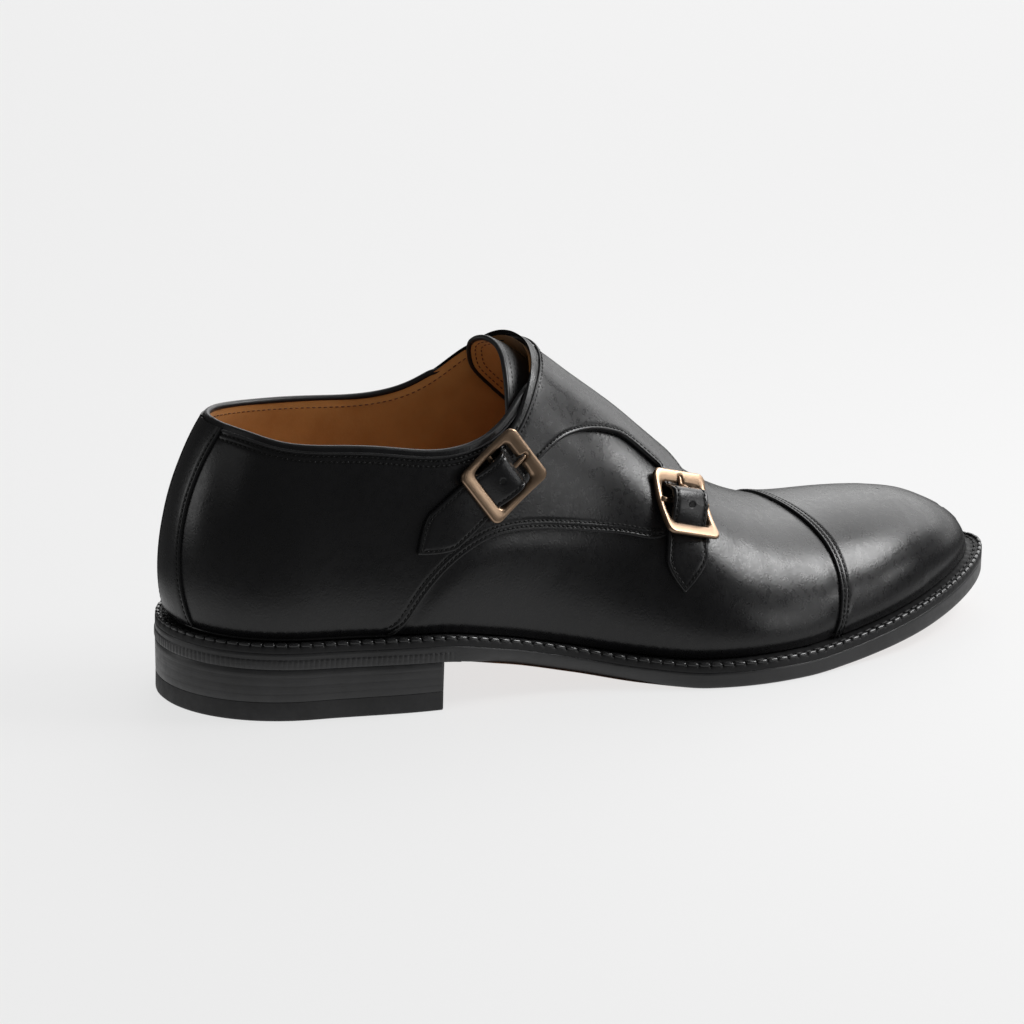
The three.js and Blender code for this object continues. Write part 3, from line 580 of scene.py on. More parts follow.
class Cast:
    """Gathers points and faces in mm and casts them as one smooth mesh."""

    def __init__(self) -> None:
        """Starts empty."""
        self.points: list[Array] = []
        self.quads: list[Array] = []
        self.triangles: list[Array] = []
        self.count = 0

    def add_points(self, points: Array) -> int:
        """Adds points.

        Args:
            points: the points, in any grid.

        Returns:
            The number of the first.
        """
        first = self.count
        flat = np.asarray(points, float).reshape(-1, 3)
        self.points.append(flat)
        self.count += len(flat)
        return first

    def grid(self, points: Array, outward: Array | Sequence[float] | None = None, ring: bool = False) -> None:
        """Adds a sheet of quads.

        Args:
            points: rows by columns of points.
            outward: a direction that its faces look along, one for all or for each point; left
                out, the rows and columns settle it.
            ring: whether the last column joins the first.
        """
        rows, columns = points.shape[:2]
        outward = None if outward is None else np.broadcast_to(outward, points.shape)
        index = np.arange(rows * columns).reshape(rows, columns) + self.add_points(points)
        if ring:
            index = np.concatenate([index, index[:, :1]], 1)
            points = np.concatenate([points, points[:, :1]], 1)
            outward = None if outward is None else np.concatenate([outward, outward[:, :1]], 1)
        quads = np.stack([index[:-1, :-1], index[:-1, 1:], index[1:, 1:], index[1:, :-1]], -1)
        if outward is not None:
            facing = np.cross(points[1:, 1:] - points[:-1, :-1], points[1:, :-1] - points[:-1, 1:])
            if (facing * outward[:-1, :-1]).sum() < 0:
                quads = quads[..., ::-1]
        self.quads.append(quads.reshape(-1, 4))

    def fan(self, loop: Array, up: bool) -> None:
        """Closes a flat loop with triangles round its middle.

        Args:
            loop: points round the loop.
            up: whether the faces look up.
        """
        first = self.add_points(np.vstack([loop, loop.mean(0)]))
        ids = np.arange(len(loop)) + first
        faces = np.stack([ids, np.roll(ids, -1), np.full(len(loop), first + len(loop))], -1)
        area = np.cross(loop - loop.mean(0), np.roll(loop, -1, 0) - loop.mean(0))[:, 2].sum()
        self.triangles.append(faces if (area > 0) == up else faces[:, ::-1])

    def repeat(self, shape: "Bead", centres: Array, along: Array, out: Array) -> None:
        """Adds one small closed bead at each place.

        Args:
            shape: the bead.
            centres: where the beads sit.
            along: their long axes.
            out: the outward normals, or one for all.
        """
        along = unit(along)
        side = unit(np.cross(out, along))
        up = np.cross(along, side)
        points, quads = shape.grid()
        placed = (
            centres[:, None]
            + points[None, :, 0:1] * along[:, None]
            + points[None, :, 1:2] * side[:, None]
            + points[None, :, 2:3] * up[:, None]
        )
        first = self.add_points(placed)
        step = np.arange(len(centres))[:, None, None] * len(points)
        self.quads.append((quads[None] + step + first).reshape(-1, 4))

    def tube(self, centres: Array, out: Array, radius: Array, sides: int = 10, flat: float = 1.0) -> None:
        """Adds a tube along a line, closed by drawing in its ends.

        Args:
            centres: points of its middle line.
            out: a direction that its section keeps upright, one for all or at each point.
            radius: its radius at each point, or one for all.
            sides: corners of its section.
            flat: height of the section as a share of its width.
        """
        radius = np.broadcast_to(np.asarray(radius, float), len(centres)).copy()
        along = unit(np.gradient(centres, axis=0))
        side = unit(np.cross(out, along))
        up = np.cross(along, side)
        turn = np.linspace(0, 2 * np.pi, sides, endpoint=False)
        ring = np.cos(turn)[None, :, None] * side[:, None] + flat * np.sin(turn)[None, :, None] * up[:, None]
        body = centres[:, None] + ring * radius[:, None, None]
        caps = [centres[:1, None] + ring[:1] * 1e-3, centres[-1:, None] + ring[-1:] * 1e-3]
        points = np.concatenate([caps[0], body, caps[1]])
        facing = np.concatenate([ring[:1], ring, ring[-1:]])
        self.grid(points, facing, ring=True)

    def build(self, name: str, bench: Bench) -> bpy.types.Object:
        """Casts the mesh and links its object.

        Args:
            name: the object's name.
            bench: gives the move to the shoe's frame.

        Returns:
            The object.
        """
        mesh = bpy.data.meshes.new(name)
        quads = np.concatenate(self.quads) if self.quads else np.zeros((0, 4), int)
        triangles = np.concatenate(self.triangles) if self.triangles else np.zeros((0, 3), int)
        corners = np.concatenate([quads.ravel(), triangles.ravel()]).astype(np.int32)
        starts = np.concatenate(
            [np.arange(len(quads)) * 4, len(quads) * 4 + np.arange(len(triangles)) * 3]
        ).astype(np.int32)
        mesh.vertices.add(self.count)
        mesh.loops.add(len(corners))
        mesh.polygons.add(len(starts))
        mesh.vertices.foreach_set("co", bench.to_frame(np.concatenate(self.points)).ravel())
        mesh.loops.foreach_set("vertex_index", corners)
        mesh.polygons.foreach_set("loop_start", starts)
        mesh.polygons.foreach_set("use_smooth", np.full(len(starts), True))
        mesh.update(calc_edges=True)
        mesh.validate()
        piece = bpy.data.objects.new(name, mesh)
        bpy.context.scene.collection.objects.link(piece)
        return piece


@dataclass(frozen=True)
class Bead:
    """A small rounded solid such as one stitch."""

    length: float
    width: float
    height: float
    rings: int = 5
    sides: int = 8
    blunt: float = 0.45

    def grid(self) -> tuple[Array, Array]:
        """Its points and quads.

        Returns:
            Points along X, and the corner numbers of its quads.
        """
        turn = np.linspace(0, np.pi, self.rings + 2)
        x = -np.cos(turn) * self.length / 2
        swell = np.sin(turn) ** self.blunt
        swell[[0, -1]] = 0.02
        angle = np.linspace(0, 2 * np.pi, self.sides, endpoint=False)
        points = np.stack(
            [
                np.repeat(x, self.sides),
                (swell[:, None] * np.cos(angle) * self.width / 2).ravel(),
                (swell[:, None] * np.sin(angle) * self.height / 2).ravel(),
            ],
            -1,
        )
        index = np.arange(len(points)).reshape(len(x), self.sides)
        index = np.concatenate([index, index[:, :1]], 1)
        quads = np.stack([index[:-1, :-1], index[1:, :-1], index[1:, 1:], index[:-1, 1:]], -1)
        return points, quads[..., ::-1].reshape(-1, 4)


@dataclass(frozen=True)
class Thread:
    """A row of stitches: the pitch and each stitch's length, width and height."""

    pitch: float
    bead: Bead
    sink: float = 0.1

    def sew(self, cast: Cast, points: Array, normals: Array, rise: Array | float = 0.0) -> None:
        """Lays stitches along a line.

        Args:
            cast: the mesh that gathers them.
            points: the line.
            normals: the outward normals along it.
            rise: mm from the line up to the leather's face.
        """
        points = points + normals * np.broadcast_to(rise, len(points))[:, None]
        count = max(2, int(round(run_length(points)[-1] / self.pitch)) + 1)
        at = evenly(points, count)
        centres = between_rows(points, at)
        out = unit(between_rows(normals, at))
        along = np.gradient(centres, axis=0)
        cast.repeat(self.bead, centres - out * self.sink, along, out)


FINE_THREAD = Thread(1.75, Bead(1.25, 0.62, 0.5), 0.16)
LINING_THREAD = Thread(2.0, Bead(1.25, 0.42, 0.3), 0.0)
WELT_THREAD = Thread(4.0, Bead(3.5, 1.5, 1.3, rings=7, blunt=0.35), 0.15)
FEATHER_THREAD = Thread(4.0, Bead(3.1, 1.1, 1.0, rings=7, blunt=0.4), 0.2)


class Mark(NamedTuple):
    """A soft groove (or with a negative depth a ridge) along a line in space."""

    line: Array
    depth: float
    width: float


def relief(points: Array, marks: Sequence[Mark]) -> Array:
    """Height that marks add at points.

    Args:
        points: places on the surface, in any grid.
        marks: the grooves and ridges.

    Returns:
        Mm outwards at each place, in the same grid.
    """
    flat = points.reshape(-1, 3)
    total = np.zeros(len(flat))
    for mark in marks:
        near = reach(flat, mark.line, 3.2 * mark.width)
        total -= mark.depth * np.exp(-((near / mark.width) ** 2))
    return total.reshape(points.shape[:-1])


GROOVE_DEPTH, GROOVE_WIDTH = 0.24, 0.36
SOFT_GROOVE_DEPTH = 0.22

CUT_EDGE = ((0.0, 0.0), (0.0, 0.62), (0.1, 0.84), (0.28, 0.96), (0.55, 1.0))


def edge_steps(grooves: Sequence[float]) -> list[tuple[float, float]]:
    """Distances from a cut edge at which a panel gets rows, with the share of its thickness.

    Args:
        grooves: distances of the stitched grooves from the edge.

    Returns:
        Distance and share pairs, from the edge inwards.
    """
    steps = list(CUT_EDGE)
    for groove in grooves:
        steps += [(groove + shift, 1.0) for shift in (-0.5, -0.22, 0.0, 0.22, 0.5)]
    return steps


@dataclass
class Panel:
    """Leather between two lines on the last, laid over it in rows from one line to the other."""

    near: Trace
    far: Trace
    near_steps: Sequence[tuple[float, float]] = ((0.0, 1.0),)
    far_steps: Sequence[tuple[float, float]] = ((0.0, 1.0),)
    middle: int = 24

    def lay(
        self, last: Last, low: float, thick: Callable[[Array], Array] | float, marks: Sequence[Mark] = ()
    ) -> tuple[Array, Array]:
        """Lays the panel on the last.

        Args:
            last: the form.
            low: height of its underside above the form.
            thick: its thickness, or a function of base points that gives it.
            marks: grooves and ridges on its face.

        Returns:
            Its points and outward normals.
        """
        columns = len(self.near.u)
        share = np.linspace(0, 1, 60)[:, None]
        u = self.near.u + share * (self.far.u - self.near.u)
        across = self.near.across + share * (self.far.across - self.near.across)
        base = last.surface(u, across)
        near_at = np.array([step[0] for step in self.near_steps])
        far_at = np.array([step[0] for step in self.far_steps])
        rows = np.empty((len(near_at) + self.middle + len(far_at), columns))
        for c in range(columns):
            run = run_length(base[:, c])
            total = max(run[-1], 1e-6)
            first = np.minimum(near_at, total * 0.5 * near_at / max(near_at[-1], 1e-6))
            final = np.minimum(far_at, total * 0.5 * far_at / max(far_at[-1], 1e-6))
            middle = np.linspace(first[-1], total - final[-1], self.middle + 2)[1:-1]
            rows[:, c] = np.interp(np.concatenate([first, middle, (total - final)[::-1]]), run, share[:, 0])
        u = self.near.u + rows * (self.far.u - self.near.u)
        across = self.near.across + rows * (self.far.across - self.near.across)
        fill = np.concatenate(
            [
                [step[1] for step in self.near_steps],
                np.ones(self.middle),
                [step[1] for step in self.far_steps][::-1],
            ]
        )[:, None]
        base = last.surface(u, across)
        out = last.normal(u, across)
        full = thick(base) if callable(thick) else thick
        height = low + fill * (full + relief(base, marks) * (fill > 0.9))
        return base + out * height[..., None], out


# ---- finishes --------------------------------------------------------------


class Grain(Enum):
    """Surface patterns that a finish can carry."""

    NONE = "none"
    CALF = "calf"
    EDGE = "edge"
    LINING = "lining"
    BRUSHED = "brushed"
    MOULDED = "moulded"


MIDDLE = (0.3, 0.7)


class NodeBench:
    """Builds one material's node tree."""

    def __init__(self, name: str) -> None:
        """Makes a material with a bare shader.

        Args:
            name: the material's name.
        """
        self.material = bpy.data.materials.new(name)
        self.material.use_nodes = True
        self.tree = self.material.node_tree
        self.tree.nodes.clear()
        self.output = self.tree.nodes.new("ShaderNodeOutputMaterial")
        self.shader = self.tree.nodes.new("ShaderNodeBsdfPrincipled")
        self.link(self.shader.outputs["BSDF"], self.output.inputs["Surface"])
        self.place = self.tree.nodes.new("ShaderNodeTexCoord").outputs["Object"]

    def link(self, source: bpy.types.NodeSocket, target: bpy.types.NodeSocket) -> None:
        """Joins two sockets."""
        self.tree.links.new(source, target)

    def stretched(self, scale: tuple[float, float, float]) -> bpy.types.NodeSocket:
        """Object coordinates with their own scale along each axis.

        Args:
            scale: the three scales.

        Returns:
            The coordinates.
        """
        mapping = self.tree.nodes.new("ShaderNodeMapping")
        mapping.inputs["Scale"].default_value = scale
        self.link(self.place, mapping.inputs["Vector"])
        return mapping.outputs["Vector"]

    def noise(
        self, scale: float, detail: float = 3.0, vector: bpy.types.NodeSocket | None = None, rough: float = 0.5
    ) -> bpy.types.NodeSocket:
        """A noise pattern.

        Args:
            scale: features per metre.
            detail: how many finer layers it has.
            vector: its coordinates, or none for the object's.
            rough: how strong the finer layers are.

        Returns:
            The pattern, from 0 to 1.
        """
        node = self.tree.nodes.new("ShaderNodeTexNoise")
        node.inputs["Scale"].default_value = scale
        node.inputs["Detail"].default_value = detail
        node.inputs["Roughness"].default_value = rough
        self.link(vector or self.place, node.inputs["Vector"])
        return node.outputs["Fac"]

    def warped(self, scale: float, amount: float) -> bpy.types.NodeSocket:
        """Object coordinates pushed about by a noise.

        Args:
            scale: features of the noise per metre.
            amount: metres of push.

        Returns:
            The coordinates.
        """
        noise = self.tree.nodes.new("ShaderNodeTexNoise")
        noise.inputs["Scale"].default_value = scale
        self.link(self.place, noise.inputs["Vector"])
        push = self.tree.nodes.new("ShaderNodeVectorMath")
        push.operation = "MULTIPLY_ADD"
        push.inputs[1].default_value = (amount, amount, amount)
        self.link(noise.outputs["Color"], push.inputs[0])
        self.link(self.place, push.inputs[2])
        return push.outputs["Vector"]

    def ranged(
        self, value: bpy.types.NodeSocket, low: float, high: float, span: tuple[float, float]
    ) -> bpy.types.NodeSocket:
        """A value brought from one range to another.

        Args:
            value: the value.
            low: result at the start of the span.
            high: result at its end.
            span: start and end of the input range.

        Returns:
            The new value, kept in its range.
        """
        node = self.tree.nodes.new("ShaderNodeMapRange")
        node.inputs["From Min"].default_value = span[0]
        node.inputs["From Max"].default_value = span[1]
        node.inputs["To Min"].default_value = low
        node.inputs["To Max"].default_value = high
        self.link(value, node.inputs["Value"])
        return node.outputs["Result"]

    def blend(self, share: bpy.types.NodeSocket, first: tuple, second: tuple) -> bpy.types.NodeSocket:
        """A colour between two.

        Args:
            share: how much of the second there is.
            first: one colour.
            second: the other.

        Returns:
            The colour.
        """
        node = self.tree.nodes.new("ShaderNodeMix")
        node.data_type = "RGBA"
        node.inputs[6].default_value = (*first, 1)
        node.inputs[7].default_value = (*second, 1)
        self.link(share, node.inputs[0])
        return node.outputs[2]

    def bump(
        self, height: bpy.types.NodeSocket, strength: float, depth: float, under: bpy.types.NodeSocket | None = None
    ) -> bpy.types.NodeSocket:
        """A bump layer.

        Args:
            height: the pattern.
            strength: its share.
            depth: its depth in metres.
            under: the layer below it.

        Returns:
            The normal.
        """
        node = self.tree.nodes.new("ShaderNodeBump")
        node.inputs["Strength"].default_value = strength
        node.inputs["Distance"].default_value = depth
        self.link(height, node.inputs["Height"])
        if under:
            self.link(under, node.inputs["Normal"])
        return node.outputs["Normal"]


@dataclass(frozen=True)
class Finish:
    """One finish: the record's material slot, its two colours, its gloss and the pattern it carries."""

    name: str
    slot: str
    dark: tuple[float, float, float]
    light: tuple[float, float, float]
    gloss: tuple[float, float]
    grain: Grain = Grain.NONE
    metallic: float = 0.0
    coat: float = 0.0
    coat_roughness: float = 0.2
    specular: float = 0.5
    sheen: float = 0.0
    grain_depth: float = 1.0

    def material(self) -> bpy.types.Material:
        """Builds the finish as nodes.

        Returns:
            The material.
        """
        bench = NodeBench(self.name)
        shader = bench.shader
        shader.inputs["Metallic"].default_value = self.metallic
        shader.inputs["Coat Weight"].default_value = self.coat
        shader.inputs["Coat Roughness"].default_value = self.coat_roughness
        shader.inputs["Specular IOR Level"].default_value = self.specular
        shader.inputs["Sheen Weight"].default_value = self.sheen
        shader.inputs["Sheen Roughness"].default_value = 0.5
        cloud = bench.noise(38 if self.grain is Grain.CALF else 90, 4)
        bench.link(bench.blend(bench.ranged(cloud, 0, 1, MIDDLE), self.dark, self.light), shader.inputs["Base Color"])
        spread = bench.noise(420, 3)
        bench.link(bench.ranged(spread, *self.gloss, MIDDLE), shader.inputs["Roughness"])
        normal = self.pattern(bench)
        if normal:
            bench.link(normal, shader.inputs["Normal"])
            if self.coat:
                bench.link(normal, shader.inputs["Coat Normal"])
        return bench.material

    def pattern(self, bench: NodeBench) -> bpy.types.NodeSocket | None:
        """The finish's bump layers.

        Args:
            bench: the material being built.

        Returns:
            The normal, or none for a plain finish.
        """
        depth = self.grain_depth
        if self.grain is Grain.CALF:
            wander = bench.warped(700, 0.0012)
            first = bench.bump(bench.noise(1250, 1, wander), 0.42 * depth, 0.0001)
            second = bench.bump(bench.noise(2600, 1), 0.1 * depth, 0.00005, first)
            return bench.bump(bench.noise(70, 3), 0.2 * depth, 0.0007, second)
        if self.grain is Grain.EDGE:
            streaks = bench.noise(1, 4, bench.stretched((55, 55, 1500)), 0.6)
            first = bench.bump(streaks, 0.3 * depth, 0.00022)
            return bench.bump(bench.noise(900, 3), 0.18 * depth, 0.00012, first)
        if self.grain is Grain.LINING:
            first = bench.bump(bench.noise(1500, 3), 0.3 * depth, 0.0001)
            return bench.bump(bench.noise(120, 3), 0.3 * depth, 0.0006, first)
        if self.grain is Grain.BRUSHED:
            streaks = bench.noise(1, 3, bench.stretched((5200, 380, 380)), 0.5)
            return bench.bump(streaks, 0.1 * depth, 0.00003)
        if self.grain is Grain.MOULDED:
            return bench.bump(bench.noise(1300, 3), 0.3 * depth, 0.0001)
        return None


class Look(Enum):
    """Every finish of the shoe."""

    CALF = Finish("black_calf", "black_calf", (0.0035, 0.0035, 0.004), (0.006, 0.006, 0.0065), (0.25, 0.32), Grain.CALF)
    BINDING = Finish(
        "black_binding",
        "black_calf",
        (0.007, 0.007, 0.0075), (0.011, 0.011, 0.012), (0.34, 0.44),
        Grain.LINING,
        grain_depth=0.5,
    )
    THREAD = Finish(
        "black_thread", "black_calf", (0.002, 0.002, 0.002), (0.0035, 0.0035, 0.0035), (0.45, 0.55), specular=0.3
    )
    # Painted shade: a near-black, matte finish for the discs that stand in for the shade inside the straps' holes.
    HOLE_SHADE = Finish("hole_shadow", "black_calf", (0.002, 0.002, 0.002), (0.003, 0.003, 0.003), (0.8, 0.9))
    EDGE = Finish(
        "black_edge",
        "black_edge",
        (0.009, 0.009, 0.0095), (0.016, 0.016, 0.017), (0.36, 0.5),
        Grain.EDGE,
        coat=0.2,
        coat_roughness=0.3,
    )
    WELT = Finish(
        "black_welt",
        "black_edge",
        (0.006, 0.006, 0.0065), (0.01, 0.01, 0.0105), (0.5, 0.62),
        Grain.MOULDED,
        specular=0.3,
    )
    BEAD = Finish(
        "black_bead", "black_edge", (0.009, 0.009, 0.0095), (0.016, 0.016, 0.017), (0.26, 0.36), Grain.MOULDED, coat=0.3
    )
    RUBBER = Finish(
        "black_rubber", "black_rubber", (0.011, 0.011, 0.0115), (0.016, 0.016, 0.017), (0.6, 0.72), Grain.MOULDED
    )
    LINING = Finish(
        "tan_lining", "tan_lining", (0.47, 0.2, 0.05), (0.56, 0.26, 0.075), (0.5, 0.62), Grain.LINING, sheen=0.1
    )
    LINING_THREAD = Finish("brown_thread", "tan_lining", (0.1, 0.035, 0.01), (0.14, 0.05, 0.015), (0.6, 0.7))
    SOLE = Finish("sole_leather", "sole_leather", (0.34, 0.15, 0.075), (0.42, 0.19, 0.1), (0.4, 0.52), Grain.LINING)
    BRASS = Finish(
        "antique_brass",
        "antique_brass",
        (0.4, 0.275, 0.185), (0.47, 0.33, 0.225), (0.3, 0.38),
        Grain.BRUSHED,
        metallic=1.0,
    )


@dataclass
class Part:
    """One sub-assembly of the shoe, made at the bench."""

    bench: Bench

    @property
    def last(self) -> Last:
        """The form that it is made on."""
        return self.bench.last

    def make(self, cast: Cast, name: str, look: Look, *nodes: str) -> None:
        """Casts a mesh and finishes it as a piece.

        Args:
            cast: the gathered mesh.
            name: the piece's name.
            look: its finish.
            nodes: the solids it stands for.
        """
        self.bench.finish_piece(cast.build(name, self.bench), look, *nodes)


# ---- sole, welt and heel ---------------------------------------------------


@dataclass
class Rim:
    """Places spread evenly round the sole's outline, or round its heel end only."""

    u: Array
    side: Array
    total: float

    @classmethod
    def round_sole(cls, last: Last, count: int, end: float = 1.0) -> "Rim":
        """Spreads places round the outline.

        Args:
            last: the form.
            count: how many places.
            end: the last turn that is used.

        Returns:
            The rim, from the front of the outer side round the heel to the front of the inner side.
        """
        turns = np.linspace(0, end, 3000)
        u = np.concatenate([turns[::-1], turns[1:]])
        side = np.concatenate([np.full(3000, OUTER), np.full(2999, INNER)])
        points = last.outline(u, side)
        at = evenly(points, count + 1)
        if end >= 1:
            at = at[:-1]
        nearest = np.round(at).astype(int)
        return cls(np.interp(at, np.arange(len(u)), u), side[nearest], float(run_length(points)[-1]))

    def ring(self, last: Last, inset: Array, height: Callable[[Array], Array]) -> Array:
        """Points round the rim.

        Args:
            last: the form.
            inset: mm inwards from the outline.
            height: Z as a function of x.

        Returns:
            X, Y and Z of each point.
        """
        flat = last.inset(self.u, self.side, inset)
        return np.concatenate([flat, np.asarray(height(flat[:, 0]))[:, None]], 1)

    def outward(self, last: Last) -> Array:
        """Level outward direction at each place."""
        flat = last.inset(self.u, self.side, 0.0) - last.inset(self.u, self.side, 1.0)
        return np.concatenate([unit(flat), np.zeros((len(flat), 1))], 1)


class Corner(NamedTuple):
    """One corner of a rim's section: mm in from the outline and mm above the sole's underside."""

    inset: float
    height: float


@dataclass
class Sole(Part):
    """Leather outsole: black edge, tan underside and the wheel marks round the heel seat."""

    steps: int = 900
    waist_bevel: float = 1.6
    section: tuple[Corner, ...] = (
        Corner(5.0, 0.02), Corner(1.4, 0.02), Corner(0.9, 0.06), Corner(0.45, 0.25),
        Corner(0.15, 0.6), Corner(0.0, 1.1), Corner(0.0, 2.2), Corner(0.0, 3.4), Corner(0.0, 4.4),
        Corner(0.0, 5.25), Corner(0.12, 5.4), Corner(3.0, 5.42),
    )
    toe_drop: float = 0.9
    tread_in: float = 1.35
    channel_in: float = 5.5
    channel_deep: float = 0.25
    channel_wide: float = 0.7
    wheel_pitch: float = 1.7
    wheel_end: float = 84.0
    wheel_low: float = 0.15
    wheel_high: float = 3.5

    def build(self) -> None:
        """Makes the outsole's pieces."""
        last = self.last
        rim = Rim.round_sole(last, self.steps)
        x = last.station(rim.u)
        waist = smooth_step(x, 84, 100) * (1 - smooth_step(x, 140, 166))
        rings = []
        for corner in self.section:
            lift = 1 - smooth_step(corner.height, 0.5, 4.2)
            inset = corner.inset + self.waist_bevel * waist * lift
            rings.append(rim.ring(last, inset, lambda x, h=corner.height, s=lift: self.low(x, s) + h))
        cast = Cast()
        grid = np.stack(rings)
        cast.grid(grid, rim.outward(last), ring=True)
        self.make(cast, "outsole_edge", Look.EDGE, "outsole")
        self.underside()
        self.wheel_marks()

    def low(self, x: Array, share: float = 1.0) -> Array:
        """Height of the sole's lower face, which is a little fuller under the toe."""
        return self.last.bottom(x) - share * self.toe_drop * smooth_step(x, 206, 262)

    def underside(self) -> None:
        """Makes the tan tread face with its closed channel."""
        last = self.last
        u = np.linspace(0.004, 0.996, 260)
        share = np.linspace(-1, 1, 61)
        outer = last.inset(u, OUTER, self.tread_in)
        inner = last.inset(u, INNER, self.tread_in)
        flat = outer[:, None] + (inner - outer)[:, None] * ((share + 1) / 2)[None, :, None]
        half = np.linalg.norm(inner - outer, axis=-1)[:, None] / 2
        edge = half * (1 - np.abs(share))[None]
        channel = self.channel_deep * np.exp(-(((edge - self.channel_in) / self.channel_wide) ** 2))
        z = self.low(flat[..., 0]) + 0.01 + channel
        cast = Cast()
        points = np.concatenate([flat, z[..., None]], -1)
        cast.grid(points, [0.0, 0.0, -1.0])
        self.make(cast, "outsole_tread", Look.SOLE)

    def wheel_marks(self) -> None:
        """Makes the band of upright notches round the heel seat."""
        last = self.last
        end = float(last.turn(self.wheel_end))
        span = Rim.round_sole(last, 10, end).total
        marks = int(span / self.wheel_pitch)
        rim = Rim.round_sole(last, marks * 8, end)
        phase = np.arange(len(rim.u)) / 8
        tooth = np.abs(np.cos(np.pi * phase)) ** 0.6
        x = last.station(rim.u)
        fade = 1 - smooth_step(x, 78, 84)
        levels = (
            (self.wheel_low, 0.0), (self.wheel_low + 0.3, 0.75), (self.wheel_low + 0.8, 1.0),
            (self.wheel_high - 0.8, 1.0), (self.wheel_high - 0.3, 0.75), (self.wheel_high, 0.0),
        )
        rings = [
            rim.ring(last, 0.04 - (0.08 + 0.22 * tooth) * share * fade, lambda x, h=height: last.bottom(x) + h)
            for height, share in levels
        ]
        cast = Cast()
        grid = np.stack(rings)
        cast.grid(grid, rim.outward(last))
        self.make(cast, "heel_seat_wheel", Look.EDGE)


@dataclass
class Welt(Part):
    """Stitched rand round the upper, with its two rows of beads."""

    pitch: float = 4.0
    steps_per_mark: int = 8
    notch: float = 0.55
    thread_in: float = 0.8
    feather_in: float = 2.7

    def build(self) -> None:
        """Makes the welt and its stitches."""
        last = self.last
        span = Rim.round_sole(last, 10).total
        marks = int(round(span / self.pitch))
        rim = Rim.round_sole(last, marks * self.steps_per_mark)
        phase = np.arange(len(rim.u)) / self.steps_per_mark
        dip = 1 - np.abs(np.sin(np.pi * phase)) ** 0.45
        top = last.welt_top
        section = (
            (4.0, 5.43, 0.0), (0.12, 5.43, 0.0), (0.0, 5.56, 0.0), (0.0, 6.1, 0.0),
            (0.0, 6.9, 0.15), (0.06, 7.4, 0.5), (0.22, 7.85, 0.9), (0.5, 8.12, 1.0),
            (0.9, 8.2, 1.0), (1.3, 8.1, 0.8), (1.7, 7.9, 0.25), (2.1, 7.8, 0.0), (2.7, 8.0, 0.3),
            (3.3, 8.1, 0.6), (3.9, 8.0, 0.3), (4.4, 7.95, 0.0), (8.2, top, 0.0),
        )
        rings = []
        for inset, height, share in section:
            cut = self.notch * share * dip
            pull = 0.35 * share * dip if inset < 0.6 else 0.0
            rings.append(rim.ring(last, inset + pull, lambda x, h=height, c=cut: last.bottom(x) + h - c))
        cast = Cast()
        grid = np.stack(rings)
        up = rim.outward(last) + np.array([0.0, 0.0, 1.0])
        cast.grid(grid, up, ring=True)
        self.make(cast, "welt_rand", Look.WELT, "welt")
        half = self.steps_per_mark // 2
        middle = Rim(rim.u[half :: self.steps_per_mark], rim.side[half :: self.steps_per_mark], span)
        for name, look, thread, inset, lift in (
            ("welt_stitches", Look.BEAD, WELT_THREAD, self.thread_in, top - 0.05),
            ("welt_feather", Look.WELT, FEATHER_THREAD, self.feather_in, top - 0.15),
        ):
            threads = Cast()
            points = middle.ring(last, inset, lambda x, h=lift: last.bottom(x) + h)
            along = np.roll(points, -1, 0) - np.roll(points, 1, 0)
            threads.repeat(thread.bead, points - np.array([0, 0, thread.sink]), along, np.array([0.0, 0.0, 1.0]))
            self.make(threads, name, look)


@dataclass
class Heel(Part):
    """Stacked heel with its rubber top piece."""

    breast: float = 78.0
    top_piece: float = 6.5
    lifts: int = 4
    line_depth: float = 0.03
    steps: int = 240

    def loop(self, inset: float, height: Callable[[Array], Array]) -> Array:
        """Points round the heel: both sides, then across the breast.

        Args:
            inset: mm inwards from the outline.
            height: Z as a function of x.

        Returns:
            The closed loop.
        """
        last = self.last
        rim = Rim.round_sole(last, self.steps, float(last.turn(self.breast)))
        sides = rim.ring(last, inset, height)
        share = np.linspace(0, 1, 26)[1:-1, None]
        front = sides[-1] + (sides[0] - sides[-1]) * share
        front[:, 2] = height(front[:, 0])
        return np.vstack([sides, front])

    def walls(self, levels: Sequence[tuple[float, Callable[[Array], Array]]]) -> tuple[Cast, list[Array]]:
        """Stacks loops into walls.

        Args:
            levels: inset and height of each loop, from the bottom.

        Returns:
            The mesh so far, and its loops.
        """
        loops = [self.loop(inset, height) for inset, height in levels]
        grid = np.stack(loops)
        cast = Cast()
        middle = grid.mean((0, 1))
        cast.grid(grid, (grid - middle) * np.array([1.0, 1.0, 0.0]), ring=True)
        return cast, loops

    def build(self) -> None:
        """Makes the lifts and the top piece."""
        last = self.last
        floor = self.top_piece - 0.02

        def between(share: float) -> Callable[[Array], Array]:
            """Height at a share of the way up the lifts."""
            return lambda x: floor + share * (last.bottom(x) + 0.05 - floor)

        levels = [(0.4, between(0.0)), (0.28, between(0.015))]
        for lift in range(1, self.lifts):
            share = lift / self.lifts
            inset = 0.28 * (1 - share)
            levels += [
                (inset, between(share - 0.022)), (inset + self.line_depth, between(share)),
                (inset, between(share + 0.022)),
            ]
        levels += [(0.0, between(0.975)), (0.2, between(1.0))]
        cast, loops = self.walls(levels)
        cast.fan(loops[0], up=False)
        self.make(cast, "heel_lifts", Look.EDGE, "heel_stack")
        flat = [(1.6, 0.0), (0.85, 0.12), (0.4, 0.5), (0.3, 1.0), (0.28, 6.2), (0.34, 6.42), (0.6, 6.5)]
        cast, loops = self.walls([(inset, lambda x, h=height: np.full(np.shape(x), h)) for inset, height in flat])
        cast.fan(loops[0], up=False)
        self.make(cast, "heel_rubber", Look.RUBBER, "heel_top_piece")


# ---- upper -----------------------------------------------------------------


